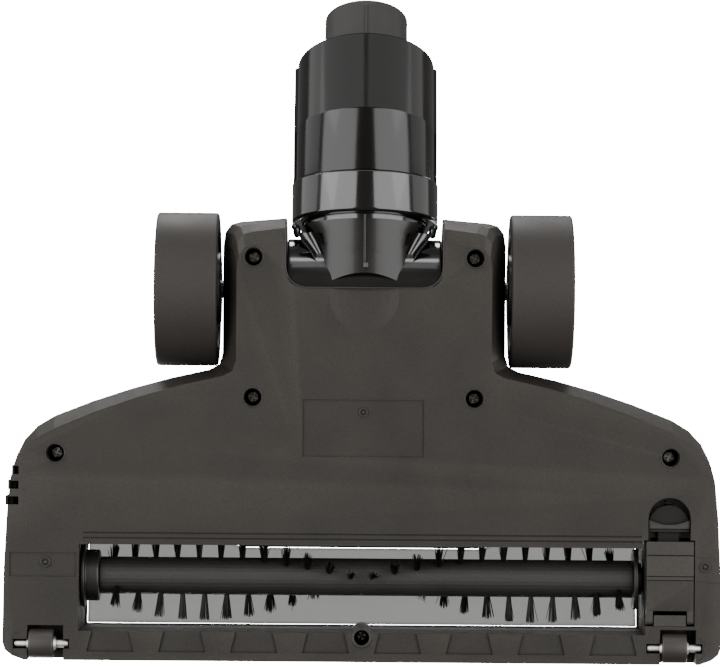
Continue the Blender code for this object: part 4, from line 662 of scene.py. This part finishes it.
def add_core_details():
    """The two moulded seam lines along the core."""
    seam = []
    for turn, wide, low, high in ((25.5, 0.16, 6.9, 7.12), (29.0, 0.1, 6.9, 7.06)):
        turn = math.radians(turn)
        loops = []
        for x in (-100.6, 97.6):
            loops.append([roll_point(x, r, turn, a) for r, a in
                          ((low, -wide), (low, wide), (high, wide), (high, -wide))])
        seam.append(loft_mesh(loops))
    add_piece("core_seam", *joined(*seam), CORE_SEAM, "brush_roll")


add_bristles()
add_core_details()


# ---------------------------------------------------------------- neck


def arch(radius, first, last, steps, lift=0.0):
    """Points of an arc about the neck's axis, as (across, up) in mm."""
    result = []
    for k in range(steps + 1):
        turn = math.radians(first + (last - first) * k / steps)
        result.append((radius * math.cos(turn), radius * math.sin(turn) + lift))
    return result


def shell_mesh(outer, first, last, lift, steps=72):
    """Half of the neck's casing, with small rounded edges at both ends and a crisp mitre."""
    stations = []
    for distance, shrink in ((CASING_START, 0.35), (CASING_START + 0.12, 0.1), (CASING_START + 0.4, 0.0)):
        stations.append((neck_point, distance, shrink, 0.0))
    slope = math.tan((TIP_ANGLE - NECK_ANGLE) / 2)
    stations.append((neck_point, MITRE_AT / MM - 0.4, 0.0, -slope))
    stations.append((neck_point, MITRE_AT / MM, 0.0, -slope))
    stations.append((tip_point, 0.4, 0.0, slope))
    for distance, shrink in ((CASING_RIM - 0.6, 0.0), (CASING_RIM - 0.2, 0.15), (CASING_RIM, 0.5)):
        stations.append((tip_point, distance, shrink, 0.0))
    sections = []
    for place, distance, shrink, lean in stations:
        loop = arch(outer - shrink, first, last, steps, lift)
        loop += arch(outer - CASING_WALL, last, first, steps, lift)
        sections.append([place(distance + up * lean, x, up) for x, up in loop])
    return loft_mesh(sections)


def add_neck():
    """The two halves of the casing, the upper one slightly wider, and the swivel collar."""
    for half, outer, first, lift in (("lower", 26.2, 180, -0.15), ("upper", 27.3, 0, 0.15)):
        shell = shell_mesh(outer, first, first + 180, lift)
        add_piece(f"neck_{half}_casing", *shell, CASING, "neck", 20, [f"neck_{half}_shell"])
    profile = [(26.9, 25.2), (27.7, 26.0), (27.7, 40.4), (27.2, 40.8), (23.8, 40.8), (23.8, 25.2)]
    profile = rounded(profile, (0.5, 0.5, 0.3, 0.2, 0.0, 0.3))
    ring = turned_mesh(profile, PIVOT, NECK_AXIS, 144)
    add_piece("collar_ring", *ring, NECK, "neck", 30, ["swivel_collar"])


add_neck()


def add_stub():
    """The round stub with its flange, its rim edge and the key rib."""
    start = 12.0
    seat = 26.0
    profile = [(STUB_RADIUS, start), (STUB_RADIUS, seat), (FLANGE_RADIUS, seat), (FLANGE_RADIUS, CASING_RIM),
               (STUB_RADIUS, CASING_RIM), (STUB_RADIUS, STUB_END), (STUB_BORE, STUB_END), (STUB_BORE, start)]
    profile = rounded(profile, (0, 0, 0, 0.4, 0.5, 0.5, 0.4, 0))
    tube = turned_mesh(profile, MITRE, TIP_AXIS, 128)
    sections = []
    for distance, low in ((28.0, 17.2), (46.6, 17.35), (47.4, 17.2), (47.7, 16.9)):
        right = [(0.42, -15.4), (0.36, -low + 0.2), (0.16, -low)]
        loop = [(-0.42, -15.4)] + right + [(-0.16, -low), (-0.36, -low + 0.2)]
        sections.append([tip_point(distance, x, up) for x, up in loop])
    add_piece("stub_tube", *joined(tube, loft_mesh(sections)), STUB, "neck", 30, ["connector_stub"])


# The trumpet's sections: (distance from the pivot, half width, half height) in mm.
THROAT = ((-2, 16.2, 19.6), (1.5, 16.5, 19.7), (5, 17.0, 19.9), (8, 17.9, 20.1), (11, 18.9, 20.4),
          (14, 20.4, 20.8), (17, 22.0, 21.2), (20.5, 23.7, 21.8), (23.5, 25.2, 22.4))


def box_oval(a, b, steps=OVAL_STEPS, power=2.6):
    """A rounded box shape between an ellipse and a rectangle."""
    points = []
    for k in range(steps):
        x, y = math.cos(2 * math.pi * k / steps), math.sin(2 * math.pi * k / steps)
        reach = (abs(x) ** power + abs(y) ** power) ** (1 / power)
        points.append((a * x / reach, b * y / reach))
    return points


def funnel_half(y_back):
    """Half the width of the light cover under the trumpet, at a distance from the front edge in mm."""
    table = ((138.0, 17.3), (142.0, 15.9), (147.0, 14.9), (152.0, 15.3), (157.0, 16.9), (161.0, 18.9),
             (165.0, 21.3), (170.0, 24.5))
    for (y0, w0), (y1, w1) in zip(table, table[1:]):
        if y_back <= y1:
            share = (y_back - y0) / (y1 - y0)
            return w0 + (w1 - w0) * share
    return table[-1][1]


def add_yoke_cover():
    """The waisted cover under the trumpet: arched at its front, with a centre rib that ends in a block."""
    rows = 40
    columns = 48
    deep = ((-4.0, 21.6), (2.0, 21.9), (10.0, 22.5), (18.0, 23.7), (24.6, 25.0))

    def depth_at(distance):
        for (d0, v0), (d1, v1) in zip(deep, deep[1:]):
            if distance <= d1:
                return v0 + (v1 - v0) * (distance - d0) / (d1 - d0)
        return deep[-1][1]

    def surface(u, v, lift):
        """u runs across from -1 to 1, v from the arched front edge to the collar."""
        y_back = 146.0 + (163.0 - 146.0) * v
        half = funnel_half(y_back)
        x = half * u
        arch_front = 117.4 + math.sqrt(27.3 ** 2 - x * x)
        y_back = arch_front + (164.6 - arch_front) * v
        half = funnel_half(y_back)
        x = half * u
        distance = (y_back - PIVOT_BACK) / math.cos(NECK_ANGLE) - 3.6
        down = depth_at(distance)
        bulge = math.sqrt(max(0.0, 1 - (x / 26.0) ** 2))
        return neck_point(distance, x, -down * bulge + lift)

    points = []
    for lift in (0.0, 1.6):
        for j in range(rows + 1):
            for i in range(columns + 1):
                points.append(surface(2 * i / columns - 1, j / rows, lift))
    width = columns + 1
    layer = width * (rows + 1)
    faces = []
    for j in range(rows):
        for i in range(columns):
            a = j * width + i
            faces.append((a, a + 1, a + 1 + width, a + width))
            faces.append((layer + a, layer + a + width, layer + a + 1 + width, layer + a + 1))
    rim = list(range(width))
    rim += [j * width + columns for j in range(1, rows + 1)]
    rim += [rows * width + i for i in range(columns - 1, -1, -1)]
    rim += [j * width for j in range(rows - 1, 0, -1)]
    for k, a in enumerate(rim):
        b = rim[(k + 1) % len(rim)]
        faces.append((a, b, layer + b, layer + a))
    rib = []
    for distance, low in ((5.2, 22.0), (12.0, 22.75), (19.0, 24.0), (24.2, 25.0)):
        loop = [(-0.42, -low + 1.5), (0.42, -low + 1.5), (0.36, -low - 0.28), (0.14, -low - 0.42),
                (-0.14, -low - 0.42), (-0.36, -low - 0.28)]
        rib.append([neck_point(distance, x, up) for x, up in loop])
    block = []
    for distance, grow in ((4.4, -0.25), (4.6, 0.0), (6.3, 0.0), (6.9, -0.5)):
        loop = [(-1.35 - grow, -20.4), (0.45 + grow, -20.4), (0.45 + grow, -22.3 - grow)]
        loop += [(-0.45, -22.9 - grow), (-1.35 - grow, -22.3 - grow)]
        block.append([neck_point(distance, x, up) for x, up in loop])
    add_piece("funnel_cover", *joined((points, faces), loft_mesh(rib), loft_mesh(block)), FUNNEL, "yoke", 32,
              ["yoke_cover"])


def add_barrel():
    """The glossy barrel between the ears, its trumpet and the swivel socket."""
    bore = 16.9
    profile = [(BARREL_RADIUS, -BARREL_HALF), (BARREL_RADIUS, BARREL_HALF), (bore, BARREL_HALF),
               (bore, -BARREL_HALF)]
    barrel = turned_mesh(rounded(profile, (0.8, 0.8, 0.2, 0.2)), PIVOT, (1, 0, 0), 160)
    trunnions = turned_mesh([(0.0, -33.8), (6.0, -33.8), (6.0, 33.8), (0.0, 33.8)], PIVOT, (1, 0, 0), 48)
    outer = [[neck_point(d, x, up) for x, up in box_oval(a - 0.8, b - 4.2)] for d, a, b in THROAT]
    inner = [[neck_point(d, x, up) for x, up in box_oval(a - 3.0, b - 6.4)] for d, a, b in reversed(THROAT)]
    trumpet, trumpet_faces = loft_mesh(outer + inner, capped=False)
    last = (len(outer + inner) - 1) * OVAL_STEPS
    for k in range(OVAL_STEPS):
        n = (k + 1) % OVAL_STEPS
        trumpet_faces.append((last + k, last + n, n, k))
    ring = [(23.3, 22.3), (23.3, 39.8), (20.9, 39.8), (20.9, 22.3)]
    socket = turned_mesh(rounded(ring, (0.2, 0.5, 0.3, 0.2)), PIVOT, NECK_AXIS, 144)
    discs = []
    for side in (-1, 1):
        disc = [(0.0, 26.5 * side), (17.2, 26.5 * side), (17.2, 28.7 * side), (0.0, 28.7 * side)]
        discs.append(turned_mesh(disc, PIVOT, (1, 0, 0), 64))
    yoke = joined(barrel, (trumpet, trumpet_faces), socket, trunnions, *discs)
    add_piece("yoke_gloss", *yoke, BARREL, "yoke", 28, ["yoke_barrel"])


add_stub()
add_yoke_cover()
add_barrel()


# ---------------------------------------------------------------- wheels and rollers


def add_wheels():
    """Rear wheels: a soft tyre with rounded shoulders on a dished hub."""
    for side, sign in (("left", -1), ("right", 1)):
        origin = (0.0, PIVOT.y, TYRE_RADIUS * MM)
        axis = (sign, 0, 0)
        profile = [(TYRE_BORE, TYRE_INNER), (TYRE_RADIUS, TYRE_INNER), (TYRE_RADIUS, TYRE_OUTER),
                   (TYRE_BORE, TYRE_OUTER)]
        tyre = turned_mesh(rounded(profile, (0.3, 1.2, 1.2, 0.3), 6), origin, axis, 160)
        add_piece("tyre_" + side, *tyre, TYRE, "wheel_" + side, 40, ["wheel_tyre_" + side])
        profile = [(3.8, 54.2), (14.0, 54.2), (14.0, 56.0), (22.0, 56.0), (22.0, 77.3), (20.0, 77.3),
                   (18.0, 75.3), (9.0, 75.3), (8.0, 76.8), (3.8, 76.8)]
        radii = (0.2, 0.5, 0.3, 0.2, 0.3, 0.4, 0.8, 0.6, 0.4, 0.2)
        hub = turned_mesh(rounded(profile, radii), origin, axis, 96)
        add_piece("hub_" + side, *hub, HUB, "wheel_" + side, 35, ["wheel_hub_" + side])


def add_rollers():
    """Front rollers with rounded shoulders and a small metal bush at each end, on their axles."""
    for side, x in (("right", 119.1), ("left", -116.2)):
        origin = Vector((x * MM, FRONT_Y + 6.0 * MM, ROLLER_RADIUS * MM))
        profile = [(1.8, -ROLLER_HALF), (ROLLER_RADIUS, -ROLLER_HALF), (ROLLER_RADIUS, ROLLER_HALF),
                   (1.8, ROLLER_HALF)]
        roller = turned_mesh(rounded(profile, (0.1, 0.7, 0.7, 0.1)), origin, (1, 0, 0), 64)
        add_piece("roller_" + side, *roller, ROLLER, "roller_" + side, 40, ["front_roller_" + side])
        bushes = []
        for way in (-1, 1):
            cone = [(1.6, 4.65 * way), (2.75, 4.65 * way), (1.95, 5.5 * way), (1.6, 5.5 * way)]
            bushes.append(turned_mesh(cone, origin, (1, 0, 0), 32))
        add_piece("roller_bushes_" + side, *joined(*bushes), STEEL, "roller_" + side, 40)
        profile = [(0.0, -10.1), (1.5, -10.1), (1.5, 10.1), (0.0, 10.1)]
        axle = turned_mesh(rounded(profile, (0, 0.35, 0.35, 0)), origin, (1, 0, 0), 40)
        add_piece("axle_" + side, *axle, STEEL, "housing", 35, ["roller_axle_" + side])


add_wheels()
add_rollers()


# ---------------------------------------------------------------- fine details


def pip_mesh(x, y_back, z, radius):
    """A moulding pip: a low ring round a sunk dish with a small centre button."""
    profile = [(0.0, 0.4), (0.0, -0.4), (0.22, -0.36), (0.36, -0.1), (0.4, 0.1), (0.6, 0.1), (0.68, -0.42),
               (0.8, -0.5), (0.94, -0.42), (1.0, 0.3)]
    return turned_mesh([(r * radius, d) for r, d in profile], at(x, y_back, z), (0, 0, 1), 48)


def add_sole_details():
    """Moulding pips, two lines beside the bearing cap and the rounded outlines by the axle ends."""
    places = ((117.7, 36.4, 3.36, 2.0), (-127.4, 36.4, 2.96, 2.0), (0.0, 92.9, 3.36, 1.7))
    pips = [pip_mesh(*place) for place in places]
    add_piece("moulding_pips", *joined(*pips), SOLE, "housing", 50)
    outlines = []
    for sign, x in ((1, 129.4), (-1, -126.6)):
        bow = ((-1.9, 1.9), (-0.3, 2.3), (0.5, 3.6), (0.6, 6.0), (0.5, 8.4), (-0.3, 9.7), (-1.9, 10.1))
        knots = [at(x + sign * out, y_back, 3.02) for out, y_back in bow]
        outlines.append(tube_mesh(curve_points(knots), 0.22 * MM))
    for y_back in (31.0, 40.0):
        path = [at(-124.2, y_back, SOLE_FACE), at(-128.0, y_back - 0.15, SOLE_FACE),
                at(-131.6, y_back - 0.5, SOLE_FACE)]
        outlines.append(tube_mesh(path, 0.16 * MM))
    add_piece("sole_outlines", *joined(*outlines), SOLE, "housing", 60)


def add_notch_edge():
    """The small rounded lip round the notch between the ears."""
    edge = ((-29.35, 163.6), (-29.35, 155.0), (-29.35, 149.0), (-29.2, 145.6), (-28.1, 142.6), (-25.8, 140.4),
            (-22.6, 139.3), (-18.0, 139.15), (0.0, 139.15))
    knots = [at(x, y_back, 3.1) for x, y_back in edge]
    path = curve_points(knots, 8)
    path += [Vector((-p.x, p.y, p.z)) for p in reversed(path[:-1])]
    add_piece("notch_lip", *tube_mesh(path, 0.3 * MM), SOLE, "housing", 60)


# The outer edge of each side web: (distance back, distance from the middle) in mm.
WEB_EDGE = ((139.9, 15.95), (144.0, 16.7), (148.3, 17.9), (152.5, 20.0), (156.8, 23.3), (160.0, 25.4))


def add_yoke_details():
    """The trumpet's hollow side webs with their thin rims, and the swivel stops in front of the collar."""
    webs = []
    rims = []
    for sign in (-1, 1):
        edge = curve_points([at(sign * x, y_back, 13.2) for y_back, x in WEB_EDGE])
        sections = []
        for place in edge:
            y_back = (place.y - FRONT_Y) / MM
            near = funnel_half(y_back) - 1.2
            far = abs(place.x) / MM
            row = []
            for share, z in ((0.0, 12.6), (0.25, 14.6), (0.5, 15.6), (0.75, 15.0), (0.93, 13.6), (1.0, 13.1)):
                row.append(at(sign * (near + (far - near) * share), y_back, z))
            for share, z in ((1.0, 15.2), (0.5, 17.2), (0.0, 16.0)):
                row.append(at(sign * (near + (far - near) * share), y_back, z))
            sections.append(row)
        webs.append(loft_mesh(sections))
        rims.append(tube_mesh([p + Vector((0.0, 0.0, -0.15 * MM)) for p in edge], 0.22 * MM))
    add_piece("side_webs", *joined(*webs), BARREL, "yoke", 70)
    add_piece("web_rims", *joined(*rims), FUNNEL, "yoke", 60)
    stops = []
    for sign in (-1, 1):
        for x, y_back, z, wide, long in ((25.6, 160.6, 24.0, 1.5, 2.6), (26.6, 162.4, 23.0, 1.1, 1.4)):
            rings = []
            for k in range(1, 8):
                turn = math.pi * k / 8
                reach, along = math.sin(turn), -math.cos(turn)
                ring = []
                for i in range(20):
                    spoke = 2 * math.pi * i / 20
                    across = x + wide * reach * math.cos(spoke)
                    ring.append(at(sign * across, y_back + long * along, z + wide * reach * math.sin(spoke)))
                rings.append(ring)
            stops.append(loft_mesh(rings))
    add_piece("swivel_stops", *joined(*stops), BARREL, "yoke", 60)


def screw_cross(x, y_back, radius, face):
    """A low domed screw head, and the two arms of the cross that is cut in it."""
    thick = 2.3 / radius
    profile = [(0.0, 0.0), (0.6, 0.02), (0.85, 0.18), (0.97, 0.5), (1.0, 0.85), (1.0, thick), (0.0, thick)]
    head = turned_mesh([(r * radius, d * radius) for r, d in profile], at(x, y_back, face), (0, 0, 1), 48)
    mesh = bpy.data.meshes.new("head")
    mesh.from_pydata([tuple(p) for p in head[0]], [], head[1])
    target = bpy.data.objects.new("head", mesh)
    arms = []
    for turn in (math.radians(24), math.radians(114)):
        across = Vector((math.cos(turn), math.sin(turn), 0.0))
        other = Vector((-math.sin(turn), math.cos(turn), 0.0))
        sections = []
        for depth, reach, half in ((-0.6, 1.85, 0.42), (0.1, 1.7, 0.38), (1.5, 0.75, 0.3)):
            centre = at(x, y_back, face + depth)
            sections.append([centre + across * (a * reach * MM) + other * (b * half * MM)
                             for a, b in ((-1, -1), (1, -1), (1, 1), (-1, 1))])
        arms.append(loft_mesh(sections))
    return target, arms


def add_screws():
    """The seven cross-head screws, each in place of its plain node."""
    places = [("screw_front", 0.0, FRONT_SCREW_BACK)]
    for name, x, y_back in SCREW_PLACES:
        places += [(f"screw_{name}_right", x, y_back), (f"screw_{name}_left", -x, y_back)]
    for name, x, y_back in places:
        radius = 2.95 if x else 2.5
        head = cut_mesh(*screw_cross(x, y_back, radius, 12.3))
        profile = [(0.0, 14.0), (1.4, 14.0), (1.4, 30.0), (0.0, 31.0)]
        shank = turned_mesh(profile, at(x, y_back, 0.0), (0, 0, 1), 24)
        add_piece(name + "_detail", *joined(head, shank), SCREW, "housing", 30, [name])


add_sole_details()
add_notch_edge()
add_yoke_details()
add_screws()


def add_cap_and_latch():
    """The bearing cap with its step lines, the tongue between its legs and the latch in its pocket."""
    outline = ((-105.7, 14.7), (-108.1, 14.7), (-108.1, 20.0), (-120.8, 20.0), (-120.8, 14.7),
               (-123.2, 14.7), (-123.2, 45.7), (-105.7, 45.7))
    steps = ((40.4, 40.9, 3.7), (31.2, 31.6, 3.6), (32.6, 33.0, 3.6), (20.0, 31.4, 3.12))
    tools = [box_mesh(-125, -104, front, rear, 2.0, top) for front, rear, top in steps]
    toe = box_mesh(-125, -104, 13.0, 16.1, 1.0, 4.5)
    profile = [(0.0, -124.0), (1.48, -124.0), (1.48, -103.0), (0.0, -103.0)]
    roll = turned_mesh(profile, at(0, 16.1, 4.5), (1, 0, 0), 32)
    cap = carved(prism_mesh(outline, SOLE_FACE, 9.0), tools + [carved(toe, [roll])])
    add_piece("cap_body", *cap, CAP_BLOCK, "cap", 30, ["bearing_cap"])
    tongue = ((-108.5, 14.4), (-120.4, 14.4), (-120.4, 18.4), (-108.5, 18.4))
    add_piece("cap_tongue", *prism_mesh(tongue, 3.02, 4.6), SOLE, "housing", 30)
    middle = -114.1
    half = 7.5
    left = middle - half
    right = middle + half
    dip = [(middle + half * (1 - 2 * k / 16), 53.6 - 1.7 * math.sin(math.pi * k / 16)) for k in range(17)]
    grip = [(left, 50.6), (right, 50.6)] + dip
    turns = [math.pi * k / 24 for k in range(25)]
    round_end = [(middle + half * math.cos(turn), 51.6 + half * math.sin(turn)) for turn in turns]
    shelf = [(right, 50.4)] + round_end + [(left, 50.4)]
    ridge = tube_mesh([at(x, 49.7, 5.0) for x in (left, middle, right)], 0.32 * MM)
    base = box_mesh(left, right, 49.3, 51.2, 5.6, 10.0)
    nose = box_mesh(middle - 3.9, middle + 3.9, 44.8, 49.6, 7.6, 9.2)
    add_piece("latch_grip", *joined(prism_mesh(grip, 4.2, 6.6), ridge, base), CAP_BLOCK, "latch", 30,
              ["release_latch"])
    # The shelf and nose at the bottom of the finger pocket are near black: painted shade in the deep pocket.
    add_piece("latch_shelf", *joined(prism_mesh(shelf, 6.3, 6.7), nose), POCKET_SHADE, "latch", 30)


def add_vent_backs():
    """The inner wall behind each side vent, near black as painted shade inside the vent."""
    walls = []
    for y_back in (70.5, 65.0, 59.2):
        reach = 133.3 if y_back < 60 else (132.4 if y_back < 68 else 131.0)
        walls.append(box_mesh(reach - 1.3, reach - 0.45, y_back - 1.7, y_back + 1.7, 4.2, 17.0))
        for z in (7.4, 10.8):
            walls.append(box_mesh(reach - 3.0, reach - 0.45, y_back - 1.7, y_back + 1.7, z, z + 0.7))
    add_piece("vent_backs", *joined(*walls), POCKET_SHADE, "housing", 30)


def add_well_rings():
    """The thin raised lip round each screw well."""
    rings = []
    profile = [(3.42, 0.3), (3.42, -0.12), (3.55, -0.24), (3.74, -0.24), (3.86, -0.12), (3.86, 0.3)]
    for _, x, y_back in SCREW_PLACES:
        for sign in (-1, 1):
            rings.append(turned_mesh(profile, at(sign * x, y_back, SOLE_FACE), (0, 0, 1), 64))
    profile = [(2.86, 0.5), (2.86, -0.05), (3.1, -0.22), (3.6, -0.22), (3.84, 0.0), (3.84, 0.5)]
    rings.append(turned_mesh(profile, at(0, FRONT_SCREW_BACK, SOLE_FACE), (0, 0, 1), 64))
    add_piece("well_lips", *joined(*rings), SOLE, "housing", 50)


def add_end_caps():
    """The turned end caps of the roll, with rounded flanges."""
    profile = [(0.0, 98.3), (9.6, 98.3), (9.6, 103.3), (11.9, 103.6), (11.9, 104.9), (4.0, 104.9),
               (4.0, 120.0), (0.0, 120.0)]
    cap = turned_mesh(rounded(profile, (0, 0.9, 0.4, 0.4, 0.4, 0.2, 0.4, 0)), ROLL, (1, 0, 0), 96)
    add_piece("drive_cap_turned", *cap, CAP, "brush_roll", 40, ["drive_end_cap"])
    profile = [(0.0, -101.5), (11.3, -101.5), (11.3, -103.0), (6.0, -103.3), (6.0, -104.7), (4.0, -104.7),
               (4.0, -112.2), (0.0, -112.2)]
    cap = turned_mesh(rounded(profile, (0, 0.4, 0.4, 0.3, 0.2, 0.2, 0.4, 0)), ROLL, (1, 0, 0), 96)
    add_piece("idle_cap_turned", *cap, CAP, "brush_roll", 40, ["idle_end_cap"])


add_cap_and_latch()
add_vent_backs()
add_well_rings()
add_end_caps()
